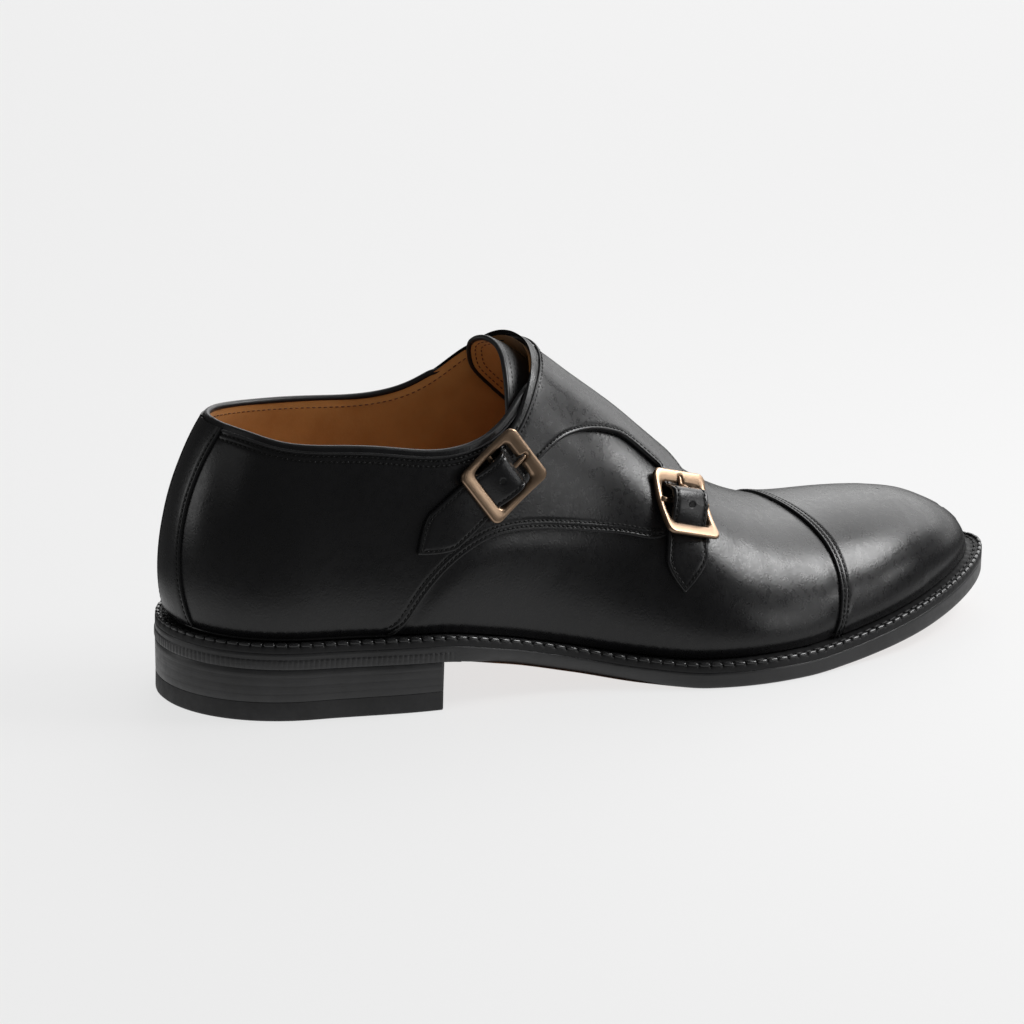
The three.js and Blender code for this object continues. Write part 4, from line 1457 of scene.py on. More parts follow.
@dataclass
class Pattern:
    """The lines that the leather is cut to, as places on the last."""

    last: Last
    opening: tuple[tuple[float, float, float], ...] = (
        (0, -0.365, 0.365), (10, -0.385, 0.38), (24, -0.43, 0.41), (48, -0.478, 0.46),
        (72, -0.502, 0.475), (90, -0.465, 0.435), (103, -0.382, 0.33), (114, -0.28, 0.2),
        (126, -0.21, 0.16), (148, -0.17, 0.14),
    )
    throat_end: float = 153.0
    cap_edge: tuple[tuple[float, float], ...] = (
        (-1, 219.5), (-0.75, 223), (-0.45, 224.6), (-0.15, 222), (0.1, 219.5), (0.45, 220.5),
        (1, 215),
    )
    outer_seam: tuple[Place, ...] = (
        Place(61.0, -1.0), Place(64.4, -0.975), Place(69.1, -0.908), Place(76.3, -0.818),
        Place(84.3, -0.76), Place(95.4, -0.708), Place(105.9, -0.684), Place(117.4, -0.664),
        Place(131.6, -0.637), Place(146, -0.606), Place(158.7, -0.575), Place(168, -0.48),
        Place(174, -0.32), Place(176.5, -0.12),
    )
    inner_seam: tuple[Place, ...] = (
        Place(61.0, 1.0), Place(64.4, 0.975), Place(69.1, 0.908), Place(76.3, 0.82),
        Place(86, 0.765), Place(100, 0.725), Place(116, 0.69), Place(131, 0.64), Place(142.5, 0.56),
        Place(152, 0.42),
    )
    wing_back: tuple[tuple[float, Place], ...] = (
        (0, Place(99, 0.39)), (0.25, Place(110.5, 0.28)), (0.45, Place(117.2, 0.17)),
        (0.6, Place(121.4, 0.06)), (0.72, Place(122.6, -0.045)), (0.86, Place(118, -0.2)),
        (1, Place(108.5, -0.355)),
    )
    wing_front: tuple[tuple[float, Place], ...] = (
        (0, Place(152, 0.42)), (0.25, Place(166, 0.27)), (0.5, Place(174, 0.1)),
        (0.7, Place(177.5, -0.02)), (0.86, Place(180, -0.12)), (1, Place(181, -0.2)),
    )
    arch: tuple[Place, ...] = (
        Place(122.7, -0.419), Place(129.2, -0.378), Place(139.5, -0.319), Place(148.5, -0.28),
        Place(155.5, -0.268),
    )
    tongue_top: tuple[tuple[float, float], ...] = (
        (-0.42, 104.5), (-0.3, 106.5), (-0.18, 109), (-0.05, 111), (0.08, 109.5), (0.19, 108),
        (0.27, 110.5), (0.33, 116.5), (0.37, 128),
    )
    tongue_end: float = 166.0

    def __post_init__(self) -> None:
        """Draws the curves that several pieces share."""
        turns = self.last.turn([row[0] for row in self.opening])
        self.top_outer = NaturalCurve(turns, [row[1] for row in self.opening])
        self.top_inner = NaturalCurve(turns, [row[2] for row in self.opening])
        self.throat_turn = float(self.last.turn(self.throat_end))
        self.cap = NaturalCurve.of(self.cap_edge)
        self.seam_outer = Trace.through(self.last, self.outer_seam, 400)
        self.seam_inner = Trace.through(self.last, self.inner_seam, 360)
        self.seam_lines = [self.seam_outer.points(self.last)[::3], self.seam_inner.points(self.last)[::3]]

    def top(self, u: Array, side: float) -> Array:
        """Across place of the upper's top edge: the opening, and past its end the ridge."""
        curve = self.top_outer if side < 0 else self.top_inner
        return np.where(u < self.throat_turn, curve(u), 0.0)

    def collar(self, side: float, low: float, high: float, count: int) -> Trace:
        """The opening's edge on one side.

        Args:
            side: OUTER or INNER.
            low: first station.
            high: last station.
            count: how many points.

        Returns:
            The edge.
        """
        u = np.linspace(float(self.last.turn(low)), float(self.last.turn(high)), count)
        curve = self.top_outer if side < 0 else self.top_inner
        return Trace(u, curve(u)).even(self.last, count)

    def step_line(self, rows: Sequence[tuple[float, Place]], steps: Array) -> Trace:
        """An edge of the wing.

        Args:
            rows: steps from 0 to 1 and their places.
            steps: the steps that are wanted.

        Returns:
            The edge.
        """
        at = [row[0] for row in rows]
        turns = self.last.turn([row[1].station for row in rows])
        return Trace(NaturalCurve(at, turns)(steps), NaturalCurve(at, [row[1].across for row in rows])(steps))

    def cap_line(self, reach_across: float, count: int) -> Trace:
        """The toe cap's back edge from the outer side to the inner."""
        across = np.linspace(-reach_across, reach_across, count)
        return Trace(self.last.turn(self.cap(across)), across).even(self.last, count)

    def from_seams(self, flat: Array) -> Array:
        """Distance from the nearer of the two vamp seams, 18 mm at most."""
        return np.minimum(*(reach(flat, line, 18) for line in self.seam_lines))

    def face(self, base: Array) -> Array:
        """Height of the quarters' face above the form: a little fuller beside the vamp seam.

        Args:
            base: points on the form.

        Returns:
            Mm above the form.
        """
        near = self.from_seams(base.reshape(-1, 3))
        return (0.22 + 0.28 * np.exp(-((near / 6) ** 2))).reshape(base.shape[:-1])

    def hollow(self, base: Array) -> Array:
        """Height of the vamp's face: a little lower beside the quarters' seam and the toe cap.

        Args:
            base: points on the form.

        Returns:
            Mm above the form.
        """
        flat = base.reshape(-1, 3)
        near = self.from_seams(flat)
        cap = reach(flat, self.cap_line(0.99, 120).points(self.last), 12)
        return (-0.6 * np.exp(-((near / 4) ** 2)) - 0.2 * np.exp(-((cap / 3) ** 2))).reshape(base.shape[:-1])


class Fold(NamedTuple):
    """A soft crease across the upper: its course, depth and width in mm."""

    course: tuple[Place, ...]
    depth: float
    width: float


FOLDS: tuple[Fold, ...] = (
    Fold((Place(186, -0.62), Place(190, -0.4), Place(189, -0.16)), 0.06, 3.4),
    Fold((Place(196, -0.7), Place(199, -0.46), Place(197, -0.2), Place(194, 0.05)), 0.05, 3.0),
    Fold((Place(188, 0.3), Place(193, 0.5), Place(191, 0.72)), 0.07, 3.2),
    Fold((Place(198, 0.28), Place(202, 0.5), Place(199, 0.74)), 0.06, 3.0),
    Fold((Place(120, -0.78), Place(128, -0.7), Place(138, -0.69)), 0.08, 3.6),
    Fold((Place(70, -0.62), Place(58, -0.72), Place(44, -0.78)), 0.08, 5.0),
    Fold((Place(30, -0.6), Place(20, -0.72), Place(13, -0.86)), 0.07, 4.5),
    Fold((Place(34, 0.6), Place(22, 0.72), Place(14, 0.86)), 0.08, 4.5),
    Fold((Place(92, 0.6), Place(104, 0.52), Place(116, 0.42)), 0.1, 4.0),
)


TUCK_DEPTH, TUCK_WIDTH = 0.7, 2.1


def foot_marks(last: Last) -> list[Mark]:
    """The tuck all round where the upper is drawn in to the welt.

    Args:
        last: the form.

    Returns:
        One mark for each side.
    """
    turns = np.linspace(0, 1, 500)
    lines = (Trace(turns, np.full(500, side)).even(last, 300) for side in (OUTER, INNER))
    return [Mark(line.points(last), TUCK_DEPTH, TUCK_WIDTH) for line in lines]


def fold_marks(last: Last) -> list[Mark]:
    """The creases as marks in space, with the tuck at the welt.

    Args:
        last: the form.

    Returns:
        The marks.
    """
    marks = foot_marks(last)
    for fold in FOLDS:
        trace = Trace.through(last, fold.course, 24)
        marks.append(Mark(trace.points(last), fold.depth, fold.width))
    return marks


@dataclass
class Vamp(Part):
    """The front of the upper, which the quarters and the cap lie over."""

    pattern: Pattern
    start: float = 50.0
    end: float = 240.0
    columns: int = 280
    rows: int = 84

    def build(self) -> None:
        """Makes the vamp."""
        last = self.last
        u = np.linspace(float(last.turn(self.start)), float(last.turn(self.end)), self.columns)
        cast = Cast()
        marks = fold_marks(last)
        for side in (OUTER, INNER):
            share = np.linspace(0, 1, self.rows)[:, None]
            top = self.pattern.top(u, side) * (1 - smooth_step(last.station(u), 128, 153))
            across = side + (top - side) * share
            turns = np.broadcast_to(u, across.shape)
            base = last.surface(turns, across)
            out = last.normal(turns, across)
            height = self.pattern.hollow(base) + relief(base, marks)
            cast.grid(base + out * height[..., None], out)
        piece = cast.build("vamp", self.bench)
        weld(piece)
        self.bench.finish_piece(piece, Look.CALF, "upper")


def weld(piece: bpy.types.Object, distance: float = 2e-6) -> None:
    """Joins points of a mesh that coincide.

    Args:
        piece: the object.
        distance: metres within which points join.
    """
    shape = bmesh.new()
    shape.from_mesh(piece.data)
    bmesh.ops.remove_doubles(shape, verts=shape.verts, dist=distance)
    shape.to_mesh(piece.data)
    shape.free()


TOP_STEPS = (0.0, 1.2, 2.1, 2.45, 2.7, 2.95, 3.4, 3.9, 4.15, 4.4, 4.65, 5.2)


@dataclass
class Quarters(Part):
    """Both quarters with their double seam over the vamp."""

    pattern: Pattern
    low: float = -0.35
    seam_rows: tuple[float, float] = (1.3, 3.0)
    collar_rows: tuple[float, float] = (2.7, 4.4)
    welt_share: float = 0.3
    collar_split: float = 56.0
    columns: int = 300

    def lines(self, side: float) -> tuple[Trace, Trace]:
        """Top and bottom lines of one quarter.

        Args:
            side: OUTER or INNER.

        Returns:
            The top line and the bottom line, with matching points.
        """
        last, pattern = self.last, self.pattern
        first = int(self.columns * self.welt_share)
        rest = self.columns - first + 1
        foot_turns = np.linspace(0, float(last.turn(pattern.outer_seam[0].station)), first)
        foot = Trace(foot_turns, np.full(first, side)).even(last, first)
        if side < 0:
            top = pattern.collar(side, 0, self.collar_split, first)
            top = top.joined(pattern.collar(side, self.collar_split, 150, rest))
            return top, foot.joined(pattern.seam_outer.even(last, rest))
        root = rest // 2
        start, finish = pattern.wing_back[0][1], pattern.wing_front[0][1]
        share = np.linspace(0, 1, root)
        from_turn, to_turn = float(last.turn(start.station)), float(last.turn(finish.station))
        line = Trace(
            from_turn + share * (to_turn - from_turn),
            start.across + share * (finish.across - start.across),
        )
        collar = pattern.collar(side, 0, self.collar_split, first)
        collar = collar.joined(pattern.collar(side, self.collar_split, start.station, rest - root + 1))
        collar.across[-1] = start.across
        return collar.joined(line), foot.joined(pattern.seam_inner.even(last, rest))

    def build(self) -> None:
        """Makes both quarters and their seam stitches."""
        last = self.last
        marks = fold_marks(last)
        threads = Cast()
        for side, name in ((OUTER, "quarter_outer"), (INNER, "quarter_inner")):
            top, foot = self.lines(side)
            seam = self.pattern.seam_outer if side < 0 else self.pattern.seam_inner
            used = seam.part(0.0, 0.86) if side < 0 else seam
            edge = self.pattern.collar(side, 0, 132 if side < 0 else 98, 300)
            grooves = [
                Mark(edge.beside(last, side * row).points(last), SOFT_GROOVE_DEPTH, GROOVE_WIDTH)
                for row in self.collar_rows
            ]
            for distance in self.seam_rows:
                row = used.beside(last, -side * distance)
                base = row.points(last)
                grooves.append(Mark(base, GROOVE_DEPTH, GROOVE_WIDTH))
                FINE_THREAD.sew(threads, base, row.normals(last), self.pattern.face(base))
            panel = Panel(top, foot, [(step, 1.0) for step in TOP_STEPS], edge_steps(self.seam_rows), 40)
            points, out = panel.lay(
                last, self.low, lambda base: self.pattern.face(base) - self.low, [*marks, *grooves]
            )
            cast = Cast()
            cast.grid(points, out)
            self.make(cast, name, Look.CALF)
        self.make(threads, "quarter_stitches", Look.THREAD)


@dataclass
class ToeCap(Part):
    """Cap over the toe with its double-stitched straight edge."""

    pattern: Pattern
    low: float = -0.15
    thick: float = 1.0
    rows: tuple[float, float] = (1.4, 3.1)
    tip_from: float = 262.0
    tip_rounds: int = 130
    tip_weld_from: float = 296.0
    tip_weld: float = 1.5e-4

    def ease_tip(self, piece: bpy.types.Object) -> None:
        """Rounds the cap over the toe's tip, where its two sides meet.

        Args:
            piece: the cap.
        """
        start, tip_start = self.bench.to_frame([[self.tip_from, 0, 0], [self.tip_weld_from, 0, 0]])[:, 0]
        shape = bmesh.new()
        shape.from_mesh(piece.data)
        tip = [vert for vert in shape.verts if vert.co.x > tip_start]
        bmesh.ops.remove_doubles(shape, verts=tip, dist=self.tip_weld)
        inner = [vert for vert in shape.verts if vert.co.x > start and not vert.is_boundary]
        for _ in range(self.tip_rounds):
            bmesh.ops.smooth_vert(shape, verts=inner, factor=0.5, use_axis_x=True, use_axis_y=True, use_axis_z=True)
        shape.to_mesh(piece.data)
        shape.free()

    def build(self) -> None:
        """Makes the cap and its stitches."""
        last = self.last
        near = self.pattern.cap_line(0.995, 240)
        far = Trace(np.ones(240), near.across)
        threads = Cast()
        grooves = []
        for distance in self.rows:
            row = self.pattern.cap_line(0.985, 200).beside(last, -distance)
            grooves.append(Mark(row.points(last), GROOVE_DEPTH, GROOVE_WIDTH))
            FINE_THREAD.sew(threads, row.points(last), row.normals(last), self.low + self.thick)
        panel = Panel(near, far, edge_steps(self.rows), ((0.0, 1.0),), 84)
        points, out = panel.lay(last, self.low, self.thick, [*grooves, *foot_marks(last)])
        cast = Cast()
        cast.grid(points, out)
        piece = cast.build("toe_cap_leather", self.bench)
        weld(piece, 2e-5)
        self.ease_tip(piece)
        self.bench.finish_piece(piece, Look.CALF, "toe_cap")
        self.make(threads, "toe_cap_stitches", Look.THREAD)


@dataclass
class BackStrip(Part):
    """Strip up the back seam, stitched down both edges."""

    pattern: Pattern
    low: float = -0.2
    thick: float = 1.35
    row: float = 1.3
    span: tuple[float, float] = (0.376, 0.985)
    sewn: tuple[float, float] = (0.05, 0.97)
    width: tuple[tuple[float, float], ...] = ((0.37, 13), (0.5, 9.5), (0.7, 8), (0.85, 9.5), (0.99, 13))

    def build(self) -> None:
        """Makes the strip and its stitches."""
        last = self.last
        half = NaturalCurve.of(self.width)
        per_turn = math.pi * last.plan[0].half * math.sqrt(last.length / (2 * last.heel_round))
        height = np.linspace(*self.span, 140)
        turn = half(height) / per_turn
        near, far = Trace(turn, -height), Trace(-turn, -height)
        threads = Cast()
        grooves = []
        for edge, sign in ((near, -1), (far, 1)):
            row = edge.beside(last, sign * self.row)
            base = row.points(last)
            if (np.abs(row.u) > np.abs(edge.u)).mean() > 0.5:
                row = edge.beside(last, -sign * self.row)
                base = row.points(last)
            grooves.append(Mark(base, GROOVE_DEPTH, GROOVE_WIDTH))
            sewn = row.part(*self.sewn)
            FINE_THREAD.sew(threads, sewn.points(last), sewn.normals(last), self.low + self.thick)
        steps = edge_steps([self.row])
        panel = Panel(near, far, steps, steps, 14)
        points, out = panel.lay(last, self.low, self.thick, [*grooves, *foot_marks(last)])
        cast = Cast()
        cast.grid(points, out)
        self.make(cast, "back_strip_leather", Look.CALF, "back_strip")
        self.make(threads, "back_strip_stitches", Look.THREAD)


@dataclass
class Collar(Part):
    """Rolled top edge with its rows of stitches, and the bound edge that runs on over the wing."""

    pattern: Pattern
    rear_seat: "Seat"
    roll: float = 1.05
    roll_below: float = 0.95
    bead: float = 0.42
    bead_in: float = 1.6
    rows: tuple[float, float] = (2.7, 4.4)
    under_buckle: float = -8.5

    def edge(self, side: float) -> tuple[Trace, Array]:
        """The bound edge of one side.

        Args:
            side: OUTER or INNER.

        Returns:
            The edge, and how far along the wing each point is: 0 at its root, 1 at the strap.
        """
        last, pattern = self.last, self.pattern
        if side < 0:
            line = pattern.collar(side, 0, 132, 460)
            return line, np.zeros(len(line.u))
        start = pattern.wing_back[0][1]
        collar = pattern.collar(side, 0, start.station, 330)
        wing = pattern.step_line(pattern.wing_back, np.linspace(0, 1, 260))
        strap = self.rear_seat.strap
        along = np.linspace(strap.root, self.under_buckle, 14)[1:]
        end = self.rear_seat.under(along, -strap.half(along))
        rows = np.concatenate(
            [
                np.stack([collar.u, collar.across, np.zeros(330)], 1),
                np.stack([wing.u, wing.across, np.linspace(0, 1, 260)], 1)[1:],
                np.stack([end.u, end.across, np.ones(13)], 1),
            ]
        )
        at = evenly(last.surface(rows[:, 0], rows[:, 1]), 620)
        rows = smoothed(between_rows(rows, at), 120)
        return Trace(rows[:, 0], rows[:, 1]), rows[:, 2]

    def build(self) -> None:
        """Makes the rolled edges and their stitches."""
        last = self.last
        cast, threads = Cast(), Cast()
        for side in (OUTER, INNER):
            line, step = self.edge(side)
            rise = instep_rise(step)
            cast.tube(last.above(line.u, line.across, rise - self.roll_below - 0.2), line.normals(last), self.roll, 14)
            inside = line.beside(last, side * self.bead_in)
            cast.tube(last.above(inside.u, inside.across, rise), inside.normals(last), self.bead, 10)
            for distance in self.rows:
                row = line.beside(last, side * distance)
                used = np.flatnonzero(step < 0.02) if distance == self.rows[1] else np.arange(len(step))
                row = Trace(row.u[used], row.across[used])
                base = row.points(last)
                rise = np.where(step[used] > 0.01, instep_rise(step[used]), self.pattern.face(base))
                FINE_THREAD.sew(threads, base, row.normals(last), rise + 0.06)
        self.make(cast, "collar_roll", Look.BINDING)
        self.make(threads, "collar_stitches", Look.THREAD)


@dataclass
class Lining(Part):
    """Tan lining of the quarters and the sock on the insole."""

    pattern: Pattern
    inside: float = 2.2
    foot: float = 0.985
    end: float = 292.0
    sock_in: float = 5.2
    sock_narrower: float = 2.6
    sock_above: float = 2.3
    row: float = 2.7

    def build(self) -> None:
        """Makes the lining, its stitches and the sock."""
        last = self.last
        cast, threads = Cast(), Cast()
        u = np.linspace(0, float(last.turn(self.end)), 220)
        for side in (OUTER, INNER):
            top = self.pattern.top(u, side)
            share = np.linspace(0, 1, 60)[:, None]
            foot = side * self.foot
            across = foot + (top - foot) * share
            turns = np.broadcast_to(u, across.shape)
            out = last.normal(turns, across)
            depth = self.inside + 0.12 * np.sin(turns * 60) * np.sin(across * 9)
            depth = depth - 0.5 * smooth_step(np.broadcast_to(share, across.shape), 0.93, 1.0)
            cast.grid(last.surface(turns, across) - out * depth[..., None], -out)
            line = self.pattern.collar(side, 0, 126, 260).beside(last, side * self.row)
            out = line.normals(last)
            LINING_THREAD.sew(threads, line.points(last, -self.inside - 0.02), -out)
        self.make(cast, "quarter_lining", Look.LINING)
        self.make(threads, "lining_stitches", Look.LINING_THREAD)
        self.sock()

    def sock(self) -> None:
        """Makes the sock over the insole."""
        last = self.last
        u = np.linspace(0.004, 0.996, 160)
        distance = self.sock_in + self.sock_narrower * smooth_step(last.station(u), 110, 165)
        outer = last.inset(u, OUTER, distance)
        inner = last.inset(u, INNER, distance)
        share = np.linspace(0, 1, 41)
        flat = outer[:, None] + (inner - outer)[:, None] * share[None, :, None]
        dish = -0.5 * np.sin(np.pi * share)[None] ** 2
        z = last.bottom(flat[..., 0]) + last.welt_top + self.sock_above + dish
        points = np.concatenate([flat, z[..., None]], -1)
        cast = Cast()
        cast.grid(points, [0.0, 0.0, 1.0])
        self.make(cast, "insole_sock", Look.LINING, "insole")


@dataclass
class Tongue(Part):
    """Tongue under the instep piece: black outside with a bound edge, tan inside."""

    pattern: Pattern
    below: float = 3.4
    thick: float = 1.6
    edge: float = 0.95
    rows: tuple[float, float] = (2.1, 4.3)

    def build(self) -> None:
        """Makes the tongue, its binding and its stitches."""
        last, pattern = self.last, self.pattern
        top = NaturalCurve.of(pattern.tongue_top)
        sides = pattern.tongue_top[0][0], pattern.tongue_top[-1][0]
        across = np.linspace(*sides, 90)
        share = np.linspace(0, 1, 70)[:, None]
        station = top(across) + (pattern.tongue_end - top(across)) * share
        u = last.turn(station)
        across = np.broadcast_to(across, u.shape)
        out = last.normal(u, across)
        base = last.surface(u, across)
        leather, lining = Cast(), Cast()
        leather.grid(base - out * self.below, out)
        lining.grid(base - out * (self.below + self.thick), -out)
        brim = np.concatenate([base[::-1, 0], base[0, 1:], base[1:, -1]])
        brim_out = np.concatenate([out[::-1, 0], out[0, 1:], out[1:, -1]])
        middle = brim - brim_out * (self.below + self.thick / 2)
        leather.tube(smoothed(middle, 3), brim_out, self.edge, sides=12)
        threads, dark = Cast(), Cast()
        for distance in self.rows:
            row = Trace(u[0], across[0]).beside(last, -distance)
            if row.u.mean() < u[0].mean():
                row = Trace(u[0], across[0]).beside(last, distance)
            FINE_THREAD.sew(threads, row.points(last, -self.below), row.normals(last))
            LINING_THREAD.sew(dark, row.points(last, -self.below - self.thick - 0.05), -row.normals(last))
        self.make(leather, "tongue_leather", Look.BINDING, "tongue")
        self.make(lining, "tongue_lining", Look.LINING)
        self.make(threads, "tongue_stitches", Look.THREAD)
        self.make(dark, "tongue_lining_stitches", Look.LINING_THREAD)


def smoothed(points: Array, rounds: int) -> Array:
    """A line with its corners eased and its ends kept.

    Args:
        points: the line.
        rounds: how often it is eased.

    Returns:
        The eased line.
    """
    points = points.copy()
    for _ in range(rounds):
        points[1:-1] = 0.25 * points[:-2] + 0.5 * points[1:-1] + 0.25 * points[2:]
    return points


# ---- straps and buckles ----------------------------------------------------


@dataclass(frozen=True)
class Strap:
    """Where a buckle sits and how its strap runs: lengths along the strap are from the buckle's bar."""

    name: str
    seat: Place
    aim: Place
    root: float
    tip: float
    straight: float
    waist: float
    blade: float

    def half(self, along: Array) -> Array:
        """Half width of the strap: narrow in the buckle, full below it, drawn in to its point.

        Args:
            along: mm along the strap.

        Returns:
            Mm to each side.
        """
        full = self.waist + (self.blade - self.waist) * smooth_step(along, 5, 16)
        p = np.clip((along - self.straight) / (self.tip - self.straight), 0, 1)
        return full * (1 - 0.97 * p**1.45)


REAR_STRAP = Strap("rear", Place(95.8, -0.553), Place(67.6, -0.75), -14.5, 36.4, 25.5, 6.7, 7.5)
FRONT_STRAP = Strap("front", Place(169.3, -0.427), Place(162.3, -0.723), -13.5, 27.8, 17.8, 6.6, 6.8)


class Seat:
    """Axes of one buckle on the last: along its strap, across it and out of the upper."""

    hump_rise = 4.6
    hump_crest = -1.5
    hump_ends = (-6.2, 9.4)
    hump_wide = 7.3

    def __init__(self, last: Last, strap: Strap) -> None:
        """Finds the axes.

        Args:
            last: the form.
            strap: the strap that the buckle holds.
        """
        self.last = last
        self.strap = strap
        self.turn = float(last.turn(strap.seat.station))
        self.place = strap.seat.across
        self.out = last.normal(self.turn, self.place)
        self.centre = last.surface(self.turn, self.place)
        aim = last.surface(float(last.turn(strap.aim.station)), strap.aim.across) - self.centre
        self.along = unit(aim - self.out * (aim @ self.out))
        self.across = np.cross(self.out, self.along)

    def under(self, along: Array, across: Array) -> Trace:
        """The places on the last under points of the buckle's plane.

        Args:
            along: mm along the strap.
            across: mm across it.

        Returns:
            The places.
        """
        along, across = np.broadcast_arrays(np.asarray(along, float), np.asarray(across, float))
        u, place = np.full(along.shape, self.turn), np.full(along.shape, self.place)
        step = 1e-4
        for _ in range(14):
            error = self.miss(u, place, along, across)
            by_u = (self.miss(u + step, place, along, across) - error) / step
            by_place = (self.miss(u, place + step, along, across) - error) / step
            det = by_u[0] * by_place[1] - by_place[0] * by_u[1]
            u = u - (error[0] * by_place[1] - by_place[0] * error[1]) / det
            place = place - (by_u[0] * error[1] - by_u[1] * error[0]) / det
        return Trace(u, place)

    def miss(self, u: Array, place: Array, along: Array, across: Array) -> Array:
        """How far places lie from points of the buckle's plane, along and across."""
        offset = self.last.surface(u, place) - self.centre
        return np.stack([offset @ self.along - along, offset @ self.across - across])

    def lift(self, points: Array) -> Array:
        """Mm that the strap rises over the buckle's bar.

        Args:
            points: places on the last's surface.

        Returns:
            The rise at each place.
        """
        offset = points - self.centre
        along = offset @ self.along - self.hump_crest
        half = np.abs(np.where(along > 0, self.hump_ends[1], self.hump_ends[0]) - self.hump_crest)
        share = np.clip(np.abs(along) / half, 0, 1)
        wide = np.abs(offset @ self.across) < self.hump_wide
        return np.where(wide, self.hump_rise * (1 - share**2) ** 1.3, 0.0)

    def at(self, along: Array, across: Array, out: Array) -> Array:
        """Points given in the buckle's own axes, as points on the last."""
        steps = np.stack(np.broadcast_arrays(along, across, out), -1).astype(float)
        return self.centre + (steps[..., None] * np.stack([self.along, self.across, self.out])).sum(-2)


ROOT_TOP = 0.3
STRAP_LOW = 0.5
STRAP_THICK = 1.6
# The fork's width is cut in fourteenths: four for each strap and six for the arch between them.
PARTS, STRAP_PARTS = 14, 4


def instep_rise(step: Array) -> Array:
    """Height of the instep piece's face: level with the quarter at its root, on top of it at the straps."""
    return ROOT_TOP + (STRAP_LOW + STRAP_THICK - ROOT_TOP) * smooth_step(step, 0.4, 0.82)


